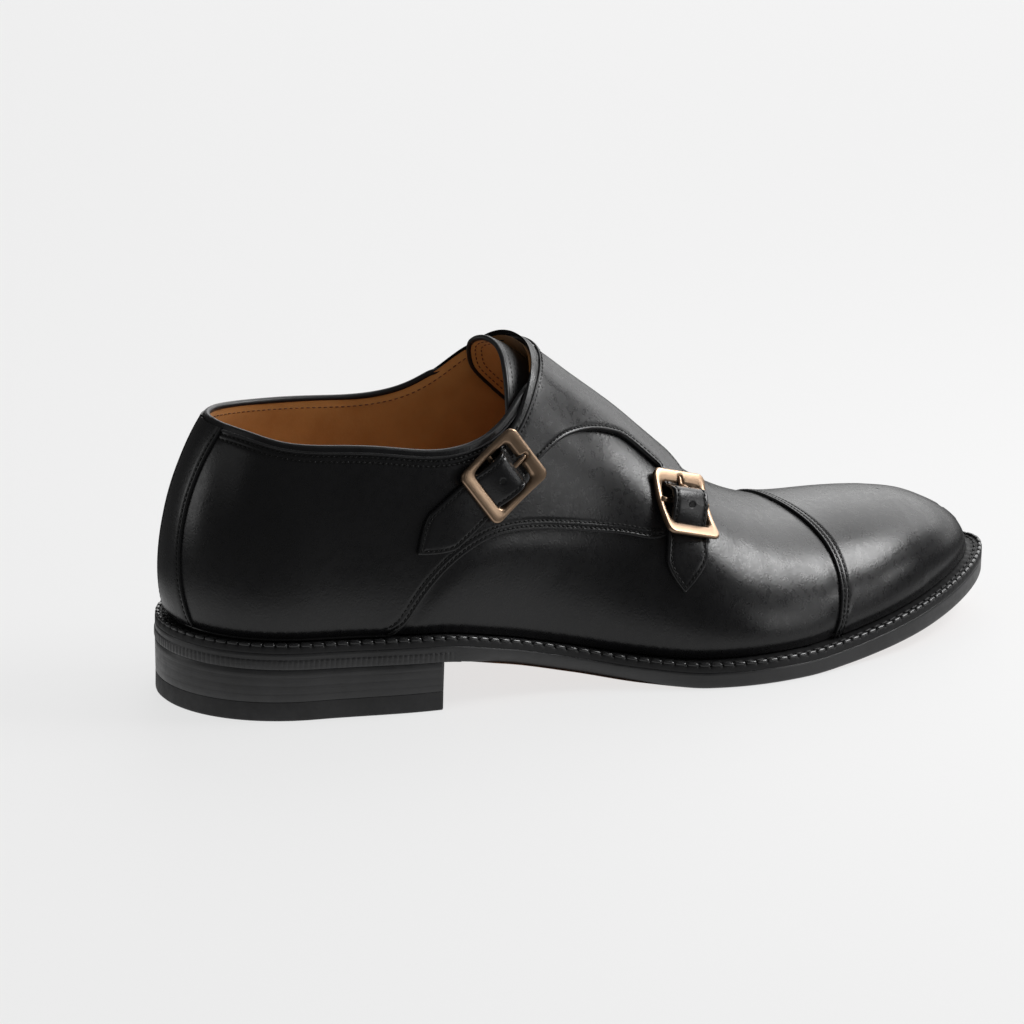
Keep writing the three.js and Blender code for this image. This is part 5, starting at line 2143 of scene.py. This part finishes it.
@dataclass
class InstepPiece(Part):
    """The leather over the instep and its two straps, in one piece."""

    pattern: Pattern
    seats: tuple[Seat, Seat]
    low: float = STRAP_LOW
    thick: float = STRAP_THICK
    row: float = 1.35
    bound_row: float = 2.7
    hole_at: float = 2.4
    hole_radius: float = 0.9
    hole_deep: float = 0.55
    prong_at: float = -4.6
    wing_length: float = 78.0
    lining_below: float = 1.75
    lining_end: float = 0.84
    edge_at: tuple[float, ...] = (0, 0.1, 0.28, 0.55, 0.85, 1.13, 1.35, 1.57, 1.9, 2.6, 3.6, 5.0)
    hole_columns: tuple[float, ...] = (5.55, 5.8, 6.05, 6.4)
    point_rows: tuple[float, ...] = (3.6, 3.0, 2.4, 1.9, 1.4, 1.0, 0.65, 0.35, 0.12, 0)

    def strap_columns(self) -> Array:
        """Places over a strap's width, from 0 to 1, close together at both edges."""
        half = np.array((*self.edge_at, *self.hole_columns)) / (2 * REAR_STRAP.waist)
        return np.concatenate([half, [0.5], (1 - half)[::-1]])

    def fork(self) -> tuple[Trace, Array]:
        """The line where the straps begin, from the rear strap's back edge to the front one's.

        Returns:
            The line, and the width share at each of its points.
        """
        last = self.last
        rear, front = self.seats
        columns = self.strap_columns()
        parts = []
        for seat in (rear, front):
            half = float(seat.strap.half(seat.strap.root))
            parts.append(seat.under(seat.strap.root, half * (2 * columns - 1)))
        u = last.turn([p.station for p in self.pattern.arch])
        knots = np.arange(STRAP_PARTS, PARTS - STRAP_PARTS + 1) / PARTS
        turn = NaturalCurve(knots, [parts[0].u[-1], *u, parts[1].u[0]])
        across = [parts[0].across[-1], *(p.across for p in self.pattern.arch), parts[1].across[0]]
        arch_at = np.linspace(knots[0], knots[-1], 72)
        arch = Trace(turn(arch_at), NaturalCurve(knots, across)(arch_at))
        line = parts[0].joined(arch).joined(parts[1])
        share = np.concatenate([columns * knots[0], arch_at[1:], knots[-1] + columns[1:] * knots[0]])
        return line, share

    def wing(self, fork: Trace, share: Array) -> tuple[Trace, Array]:
        """The instep piece from the inner side to the fork.

        Args:
            fork: where the straps begin.
            share: the width share of each of its points.

        Returns:
            Places in rows from the root to the fork, and each row's step from 0 to 1.
        """
        near = np.array(self.edge_at[1:]) / self.wing_length
        steps = np.concatenate([np.linspace(0, 1 - near[-1], 74), (1 - near)[-2::-1], [1.0]])
        back = self.pattern.step_line(self.pattern.wing_back, steps)
        ahead = self.pattern.step_line(self.pattern.wing_front, steps)
        found = []
        for back_line, ahead_line, end in ((back.u, ahead.u, fork.u), (back.across, ahead.across, fork.across)):
            root = back_line[0] + (ahead_line[0] - back_line[0]) * share
            body = root + (end - root) * steps[:, None]
            back_bulge = back_line - (back_line[0] + (back_line[-1] - back_line[0]) * steps)
            ahead_bulge = ahead_line - (ahead_line[0] + (ahead_line[-1] - ahead_line[0]) * steps)
            found.append(body + (1 - share) * back_bulge[:, None] + share * ahead_bulge[:, None])
        return Trace(found[0], found[1]), steps

    def strap_rows(self, seat: Seat) -> Array:
        """Distances along one strap, close together near its hole and its point.

        Args:
            seat: the strap's seat.

        Returns:
            Mm from the buckle's bar.
        """
        strap = seat.strap
        body = [np.arange(strap.root, 1, 0.55), np.arange(1.1, 3.8, 0.22), np.arange(4.1, strap.tip - 4, 0.55)]
        return np.concatenate([*body, strap.tip - np.array(self.point_rows)])

    def lift(self, base: Array) -> Array:
        """Rise over both bars."""
        return np.maximum(self.seats[0].lift(base), self.seats[1].lift(base))

    def build(self) -> None:
        """Makes the piece, its edges, its lining, stitches, the dents of its holes and the painted shade inside them.
        """
        last, bench = self.bench.last, self.bench
        fork, share = self.fork()
        wing, steps = self.wing(fork, share)
        columns = self.strap_columns()
        sheets = [wing]
        for seat in self.seats:
            along = self.strap_rows(seat)[:, None]
            sheets.append(seat.under(along, seat.strap.half(along) * (2 * columns - 1)))
        count = len(columns)
        arch = Trace(fork.u[count - 1 : -count + 1], fork.across[count - 1 : -count + 1])
        outline = [
            sheets[1].column(0),
            sheets[1].column(-1, -1),
            arch,
            sheets[2].column(0),
            sheets[2].column(-1, -1),
            wing.column(-1, -1),
        ]
        cut = outline[0]
        for line in outline[1:]:
            cut = cut.joined(line)
        cut_points = cut.points(last)
        bound = wing.column(0)
        marks = fold_marks(last)
        cast = Cast()
        for number, sheet in enumerate(sheets):
            base = last.surface(sheet.u, sheet.across)
            out = last.normal(sheet.u, sheet.across)
            height = self.top(base, cut_points, bound.points(last), marks)
            if number == 0:
                blend = smooth_step(steps, 0.0, 0.1)[:, None]
                rise = self.pattern.face(base) * (1 - blend) + instep_rise(steps)[:, None] * blend
                height = height - self.low - self.thick + rise
            else:
                seat = self.seats[number - 1]
                height = height + seat.lift(base)
                hole = seat.under(np.array([self.hole_at]), np.zeros(1)).points(last)[0]
                from_hole = np.linalg.norm(base - hole, axis=-1)
                height = height - self.hole_deep * np.exp(-((from_hole / self.hole_radius) ** 6))
            cast.grid(base + out * height[..., None], out)
        self.wall(cast, cut)
        piece = cast.build("instep_straps", bench)
        weld(piece, 4e-6)
        self.bench.finish_piece(piece, Look.CALF, "strap_wing")
        self.lining(wing, steps)
        self.stitches(wing.column(-1), arch)
        self.hole_shade()

    def top(self, base: Array, cut: Array, bound: Array, marks: Sequence[Mark]) -> Array:
        """Height of the face, with its eased edges and stitch grooves.

        Args:
            base: places on the form.
            cut: the cut edge's line.
            bound: the bound edge's line.
            marks: creases.

        Returns:
            Mm above the form.
        """
        flat = base.reshape(-1, 3)
        near = reach(flat, cut, 4).reshape(base.shape[:-1])
        rolled = reach(flat, bound, 5).reshape(base.shape[:-1])
        fill = np.interp(near, [0, 0.1, 0.28, 0.55], [0.62, 0.84, 0.96, 1.0])
        groove = np.exp(-(((near - self.row) / GROOVE_WIDTH) ** 2))
        groove = groove + np.exp(-(((rolled - self.bound_row) / GROOVE_WIDTH) ** 2))
        return self.low + self.thick * fill - SOFT_GROOVE_DEPTH * groove + relief(base, marks)

    def wall(self, cast: Cast, edge: Trace) -> None:
        """Adds the cut edge's side.

        Args:
            cast: the mesh.
            edge: the cut edge.
        """
        last = self.last
        base, out = edge.points(last), edge.normals(last)
        lift = self.lift(base)
        side = unit(np.cross(unit(np.gradient(base, axis=0)), out))
        rows = [
            base + out * (self.low + self.thick * share + lift)[:, None] + side * push
            for share, push in ((0.62, 0.0), (0.45, 0.06), (0.2, 0.06), (0.0, 0.0), (-0.25, -0.3))
        ]
        grid = np.stack(rows)
        cast.grid(grid, side)

    def lining(self, wing: Trace, steps: Array) -> None:
        """Makes the tan lining under the instep piece.

        Args:
            wing: the instep piece's places.
            steps: the step of each of its rows, from 0 to 1.
        """
        last = self.last
        base = last.surface(wing.u, wing.across)
        out = last.normal(wing.u, wing.across)
        cast = Cast()
        height = np.broadcast_to((instep_rise(steps) - self.lining_below)[:, None], wing.u.shape)
        rows = steps < self.lining_end
        cast.grid((base + out * height[..., None])[rows, 3:-2], -out[rows, 3:-2])
        self.make(cast, "instep_lining", Look.LINING)

    def stitches(self, front: Trace, arch: Trace) -> None:
        """Makes the stitch rows of straps, cut-out and front edge.

        Args:
            front: the front edge of the instep piece.
            arch: the edge between the straps.
        """
        last = self.last
        threads = Cast()
        rows = []
        for seat in self.seats:
            strap = seat.strap
            along = np.linspace(strap.root, strap.tip, 900)
            along = along[strap.half(along) > self.row + 0.15]
            half = strap.half(along) - self.row
            rows += [seat.under(along, half), seat.under(along, -half)]
        rows.append(arch.even(last, 200).beside(last, self.row))
        for row in rows:
            base, out = row.points(last), row.normals(last)
            FINE_THREAD.sew(threads, base, out, self.low + self.thick + self.lift(base))
        row = front.even(last, 260).beside(last, -self.row)
        FINE_THREAD.sew(threads, row.points(last), row.normals(last), instep_rise(np.linspace(0, 1, 260)))
        self.make(threads, "strap_stitches", Look.THREAD)

    def hole_shade(self) -> None:
        """Makes near-black discs in the straps' holes and where the prongs pass through: painted shade for the holes'
        insides.
        """
        last = self.last
        cast = Cast()
        # Each disc is painted shade: a dark sheet laid a little below the strap's face, where the hole's inside would
        # be in shadow.
        turn = np.linspace(0, 2 * np.pi, 20, endpoint=False)
        for seat in self.seats:
            for at, long, wide in ((self.hole_at, 0.85, 0.85), (self.prong_at, 1.7, 1.15)):
                rings = []
                for size, sink in ((1.0, 0.03), (0.7, -0.02), (0.05, -0.05)):
                    place = seat.under(at + long * size * np.cos(turn), wide * size * np.sin(turn))
                    base, out = place.points(last), place.normals(last)
                    rise = self.low + self.thick + self.lift(base) + sink
                    if at > 0:
                        rise = rise - 0.2
                    rings.append(base + out * rise[:, None])
                grid = np.stack(rings)
                cast.grid(grid, seat.out, ring=True)
        self.make(cast, "strap_hole_shade", Look.HOLE_SHADE)


@dataclass
class Buckle(Part):
    """Brass frame with its centre bar, prong and leather tab."""

    seat: Seat
    half_along: float = 12.2
    half_across: float = 10.7
    end: float = 4.8
    side: float = 2.8
    corner: float = 2.6
    window_corner: float = 2.0
    above: float = 2.5
    thick: float = 1.8
    drop: float = 0.3
    flare: float = 0.36
    tilt: float = -1.4
    ahead: float = 0.2
    notch_half: float = 1.25
    notch_deep: float = 2.4
    bar_radius: float = 0.9
    bar_above: float = 2.2

    def build(self) -> None:
        """Makes the frame with its bar, the prong and the tab."""
        name = self.seat.strap.name
        cast = Cast()
        self.frame(cast)
        across = np.linspace(-self.half_across + 1, self.half_across - 1, 12)
        centres = self.seat.at(0, across, self.bar_above)
        cast.tube(centres, self.seat.out, self.bar_radius)
        self.make(cast, f"buckle_{name}_frame", Look.BRASS, f"buckle_{name}")
        self.prong(name)
        self.tab(name)

    def rectangle(self, half_x: float, half_y: float, radius: float) -> Array:
        """Rounded rectangle with points close together at its corners and ends' middles.

        Args:
            half_x: half its length along the strap.
            half_y: half its width.
            radius: of its corners.

        Returns:
            Its points, all round.
        """
        turn = np.linspace(0, np.pi / 2, 9)
        fine = np.array([-1, -0.6, -0.3, -0.22, -0.19, -0.17, -0.14, -0.1, -0.05, 0])
        fine = np.concatenate([fine, -fine[-2::-1]])[1:-1]
        span_y, span_x = half_y - radius, half_x - radius
        points = []
        for k, (sx, sy) in enumerate(((1, 1), (-1, 1), (-1, -1), (1, -1))):
            start = turn + k * np.pi / 2
            points.append(np.stack([sx * span_x + radius * np.cos(start), sy * span_y + radius * np.sin(start)], 1))
            if k % 2 == 0:
                points.append(np.stack([-sx * np.linspace(-1, 1, 14)[1:-1] * span_x, np.full(12, sy * half_y)], 1))
            else:
                points.append(np.stack([np.full(len(fine), sx * half_x), -sy * fine * span_y], 1))
        return np.concatenate(points)

    def frame(self, cast: Cast) -> None:
        """Adds the frame, bowed along the strap and bevelled all round.

        Args:
            cast: the mesh.
        """
        outer = self.rectangle(self.half_along, self.half_across, self.corner)
        window = self.rectangle(self.half_along - self.end, self.half_across - self.side, self.window_corner)
        seat_y = np.clip(np.abs(window[:, 1]) / self.notch_half, 0, 1)
        upper = window[:, 0] < -(self.half_along - self.end) + 0.05
        window[upper, 0] -= self.notch_deep * (1 - seat_y[upper] ** 3)
        inward = unit(window - outer)
        width = np.linalg.norm(window - outer, axis=1, keepdims=True)
        section = (
            (0.0, 0.35, 0.0), (0.0, 0.06, 0.2), (0.0, 0.0, 0.5), (0.0, 0.0, 1.05), (0.0, 0.08, 1.3),
            (0.0, 0.25, 1.52), (0.0, 0.5, 1.67), (0.0, 0.9, 1.76), (0.45, 0.0, 1.8),
            (1.0, -1.1, 1.72), (1.0, -0.85, 1.58), (1.0, -0.5, 1.25), (1.0, -0.22, 0.85),
            (1.0, -0.08, 0.6), (1.0, 0.0, 0.4), (1.0, 0.0, 0.2), (1.0, -0.3, 0.0), (0.0, 0.35, 0.0),
        )
        rings = []
        facing = []
        for share, shift, height in section:
            reach_in = width * share + shift * np.minimum(1, 0.46 * width / max(abs(shift), 1.4))
            flat = outer + inward * reach_in
            rise = self.above + height * self.thick / 1.8 + self.bow(flat[:, 0])
            rings.append(self.seat.at(flat[:, 0] + self.ahead, flat[:, 1], rise))
            side = (share - 0.5) * 2
            level = (height - 0.9) / 0.9
            push = inward * side
            facing.append(
                push[:, :1] * self.seat.along + push[:, 1:] * self.seat.across + level * self.seat.out
            )
        cast.grid(np.stack(rings), np.stack(facing), ring=True)

    def bow(self, along: Array) -> Array:
        """How far the frame is bent away from its plane, at distances along the strap."""
        share = np.asarray(along, float) / self.half_along
        return (self.drop + self.flare) * share**2 - self.drop + self.tilt * share

    def prong(self, name: str) -> None:
        """Makes the prong, from its loop round the bar to its end in the frame's seat.

        Args:
            name: the buckle's name.
        """
        turn = np.linspace(-0.9 * np.pi, 0.45 * np.pi, 16)
        loop = np.stack([1.35 * np.cos(turn), self.bar_above + 1.35 * np.sin(turn)], 1)
        level = self.above + float(self.bow(-9.0)) + self.thick * 0.75
        shaft = np.array([[-1.5, 4.0], [-4.0, 4.5], [-6.5, level], [-8.4, level + 0.15], [-9.7, level + 0.1]])
        path = np.concatenate([loop, shaft])
        run = run_length(path)
        steps = np.linspace(0, run[-1], 60)
        x, z = NaturalCurve(run, path[:, 0])(steps), NaturalCurve(run, path[:, 1])(steps)
        radius = 0.62 + 0.25 * smooth_step(steps, 6, 10) - 0.3 * smooth_step(steps, run[-1] - 6, run[-1])
        radius = radius * np.sqrt(np.clip((run[-1] - steps) / 0.6, 0.02, 1))
        centres = self.seat.at(x, 0, z)
        cast = Cast()
        cast.tube(centres, self.seat.out, radius, sides=12, flat=0.8)
        self.make(cast, f"prong_{name}_pin", Look.BRASS, f"prong_{name}")

    def tab(self, name: str) -> None:
        """Makes the leather tab that folds round the bar.

        Args:
            name: the buckle's name.
        """
        turn = np.linspace(0.1 * np.pi, 1.5 * np.pi, 20)
        loops = []
        for radius, order in ((1.95, 1), (1.2, -1)):
            arc = np.stack([radius * np.cos(turn), self.bar_above + radius * np.sin(turn)], 1)
            leg = np.stack([np.linspace(0.5, 4.5, 6), np.full(6, self.bar_above - radius)], 1)
            loops.append(np.concatenate([arc, leg])[::order])
        profile = np.concatenate(loops)
        middle = profile.mean(0)
        rows = []
        for across, shrink in ((-6.0, 0.0), (-6.0, 1.0), (-5.8, 1.0), (5.8, 1.0), (6.0, 1.0), (6.0, 0.0)):
            shape = middle + (profile - middle) * (shrink if shrink else 0.9)
            rows.append(self.seat.at(shape[:, 0], across, shape[:, 1]))
        cast = Cast()
        cast.grid(np.stack(rows), None, ring=True)
        self.make(cast, f"buckle_tab_{name}_leather", Look.BINDING, f"buckle_tab_{name}")


# ---- studio ----------------------------------------------------------------


class Softbox(NamedTuple):
    """A soft light: its direction from the shoe and half its spread, in degrees, and its radiance."""

    name: str
    azimuth: float
    elevation: float
    wide: float
    tall: float
    radiance: float
    away: float = 2.6


@dataclass
class Studio(Part):
    """Pale floor, soft lights and the camera."""

    azimuth: float = 27.0
    elevation: float = 16.0
    roll: float = 1.38
    lit: tuple[float, float, float] = (150.0, 0.0, 50.0)
    aim: tuple[float, float, float] = (148.5, 0.0, 50.0)
    offset: tuple[float, float] = (-22.3, -3.9)
    distance: float = 1600.0
    lens: float = 170.38
    floor_size: float = 30.0
    floor_shade: float = 0.14
    floor_glow: float = 0.71
    # Glow strength of the floor as seen in reflections, inside and beyond the card round the shoe: painted reflection
    # light.
    reflected_card_glow: tuple[float, float] = (0.6, 0.07)
    card: tuple[float, float] = (0.21, 0.12)
    card_edge: tuple[float, float] = (1.0, 1.35)
    fill: float = 0.35
    mirrored: float = 0.05
    pale: float = 0.913
    boxes: tuple[Softbox, ...] = (
        Softbox("key_box", 98, 43, 14, 11, 12.0, 0.7),
        Softbox("wing_box", 93, 16, 6, 4, 5.0),
        Softbox("back_box", 158, 35, 28, 20, 2.3),
        Softbox("wall_box", 165, 7, 38, 7, 0.9),
        Softbox("right_box", 71, 7, 11, 9, 1.9),
        Softbox("left_box", -91, 5, 11, 13, 1.4),
        Softbox("fill_box", -60, 30, 20, 12, 0.3),
    )

    def build(self) -> None:
        """Makes floor, world, lights and camera."""
        bpy.context.scene.view_settings.view_transform = "Standard"
        self.floor()
        self.world()
        self.lights()
        self.camera()

    def axes(self) -> tuple[Array, Array, Array]:
        """Works out the camera's directions before its roll.

        Returns:
            Right, up and backward.
        """
        side, rise = math.radians(self.azimuth), math.radians(self.elevation)
        back = np.array([-math.sin(side) * math.cos(rise), -math.cos(side) * math.cos(rise), math.sin(rise)])
        right = np.array([math.cos(side), -math.sin(side), 0.0])
        return right, np.cross(back, right), back

    def floor(self) -> None:
        """Makes the pale floor: it glows evenly, and in reflections only it glows as a bright card round the shoe that
        fades farther out, a painted reflection light.
        """
        half = self.floor_size / 2
        mesh = bpy.data.meshes.new("studio_floor")
        corners = [(-half, -half, 0), (half, -half, 0), (half, half, 0), (-half, half, 0)]
        mesh.from_pydata(corners, [], [(0, 1, 2, 3)])
        piece = bpy.data.objects.new("studio_floor", mesh)
        bpy.context.scene.collection.objects.link(piece)
        finish = NodeBench("studio_floor")
        shade = (self.floor_shade, self.floor_shade, self.floor_shade, 1.0)
        finish.shader.inputs["Base Color"].default_value = shade
        finish.shader.inputs["Roughness"].default_value = 0.7
        finish.shader.inputs["Specular IOR Level"].default_value = 0.1
        finish.shader.inputs["Emission Color"].default_value = (1.0, 1.0, 1.0, 1.0)
        finish.shader.inputs["Emission Strength"].default_value = self.floor_glow
        # Painted reflection light: to glossy rays the floor glows as a bright card round the shoe and dims beyond its
        # edge.
        near = finish.tree.nodes.new("ShaderNodeVectorMath")
        near.operation = "LENGTH"
        finish.link(finish.stretched((1 / self.card[0], 1 / self.card[1], 1.0)), near.inputs[0])
        glow = finish.ranged(near.outputs["Value"], *self.reflected_card_glow, self.card_edge)
        dim = finish.tree.nodes.new("ShaderNodeEmission")
        finish.link(glow, dim.inputs["Strength"])
        mix = finish.tree.nodes.new("ShaderNodeMixShader")
        path = finish.tree.nodes.new("ShaderNodeLightPath")
        finish.link(path.outputs["Is Glossy Ray"], mix.inputs[0])
        finish.link(finish.shader.outputs["BSDF"], mix.inputs[1])
        finish.link(dim.outputs["Emission"], mix.inputs[2])
        finish.link(mix.outputs["Shader"], finish.output.inputs["Surface"])
        piece.data.materials.append(finish.material)
        piece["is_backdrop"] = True

    def world(self) -> None:
        """Makes the surround: pale to look at, even as a light, dark in reflections."""
        world = bpy.data.worlds.new("studio")
        bpy.context.scene.world = world
        world.use_nodes = True
        tree = world.node_tree
        tree.nodes.clear()
        output = tree.nodes.new("ShaderNodeOutputWorld")
        path = tree.nodes.new("ShaderNodeLightPath")
        shades = []
        for strength in (self.fill, self.mirrored, self.pale):
            shade = tree.nodes.new("ShaderNodeBackground")
            shade.inputs["Color"].default_value = (1.0, 1.0, 1.0, 1.0)
            shade.inputs["Strength"].default_value = strength
            shades.append(shade.outputs["Background"])
        result = shades[0]
        for ray, shade in (("Is Glossy Ray", shades[1]), ("Is Camera Ray", shades[2])):
            mix = tree.nodes.new("ShaderNodeMixShader")
            tree.links.new(path.outputs[ray], mix.inputs[0])
            tree.links.new(result, mix.inputs[1])
            tree.links.new(shade, mix.inputs[2])
            result = mix.outputs["Shader"]
        tree.links.new(result, output.inputs["Surface"])

    def lights(self) -> None:
        """Makes the softboxes."""
        right, _, back = self.axes()
        level = unit(back * np.array([1.0, 1.0, 0.0]))
        centre = self.bench.to_frame(np.array([self.lit]))[0]
        for box in self.boxes:
            side, rise = math.radians(box.azimuth), math.radians(box.elevation)
            flat = level * math.cos(side) + right * math.sin(side)
            place = flat * math.cos(rise) + np.array([0.0, 0.0, math.sin(rise)])
            light = bpy.data.lights.new(box.name, "AREA")
            light.shape = "RECTANGLE"
            light.size = 2 * box.away * math.tan(math.radians(box.wide))
            light.size_y = 2 * box.away * math.tan(math.radians(box.tall))
            light.energy = box.radiance * math.pi * light.size * light.size_y
            lamp = bpy.data.objects.new(box.name, light)
            lamp.location = Vector(centre + place * box.away)
            lamp.rotation_euler = Vector(-place).to_track_quat("-Z", "Y").to_euler()
            lamp.visible_camera = False
            bpy.context.scene.collection.objects.link(lamp)

    def camera(self) -> None:
        """Makes the camera."""
        right, up, back = self.axes()
        target = np.array(self.aim) + self.offset[0] * right + self.offset[1] * up
        place = self.bench.to_frame(target + self.distance * back)[0]
        roll = math.radians(self.roll)
        across = math.cos(roll) * right + math.sin(roll) * up
        upward = -math.sin(roll) * right + math.cos(roll) * up
        data = bpy.data.cameras.new("view")
        data.lens = self.lens
        data.sensor_width = 36.0
        data.clip_start = 0.1
        data.clip_end = 20.0
        data.dof.use_dof = False
        camera = bpy.data.objects.new("view", data)
        matrix = np.eye(4)
        matrix[:3, 0], matrix[:3, 1], matrix[:3, 2], matrix[:3, 3] = across, upward, back, place
        camera.matrix_world = Matrix(matrix.tolist())
        bpy.context.scene.collection.objects.link(camera)
        bpy.context.scene.camera = camera


def corners(bounds: Sequence[Sequence[float]]) -> list[list[float]]:
    """Bounds as plain lists of numbers."""
    return [[float(value) for value in corner] for corner in bounds]


def main() -> None:
    """Builds the shoe and the studio, and works out the scene's bounds before and after."""
    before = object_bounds()
    last = Last()
    bench = Bench.for_record(last, frame["record"])
    pattern = Pattern(last)
    seats = Seat(last, REAR_STRAP), Seat(last, FRONT_STRAP)
    for part in (
        Sole(bench),
        Welt(bench),
        Heel(bench),
        Vamp(bench, pattern),
        Quarters(bench, pattern),
        ToeCap(bench, pattern),
        BackStrip(bench, pattern),
        Collar(bench, pattern, seats[0]),
        Lining(bench, pattern),
        Tongue(bench, pattern),
        InstepPiece(bench, pattern, seats),
        Buckle(bench, seats[0]),
        Buckle(bench, seats[1], drop=2.0, flare=-0.3, tilt=0.55, ahead=0.75),
        Studio(bench),
    ):
        part.build()
        log.info("built %s", type(part).__name__)
    total = sum(len(piece.data.polygons) for piece in bench.pieces)
    log.info("%d pieces, %d faces", len(bench.pieces), total)
    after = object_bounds()
    {"before": corners(before), "after": corners(after)}


if __name__ == "__main__":
    logging.basicConfig(level=logging.INFO)
    main()
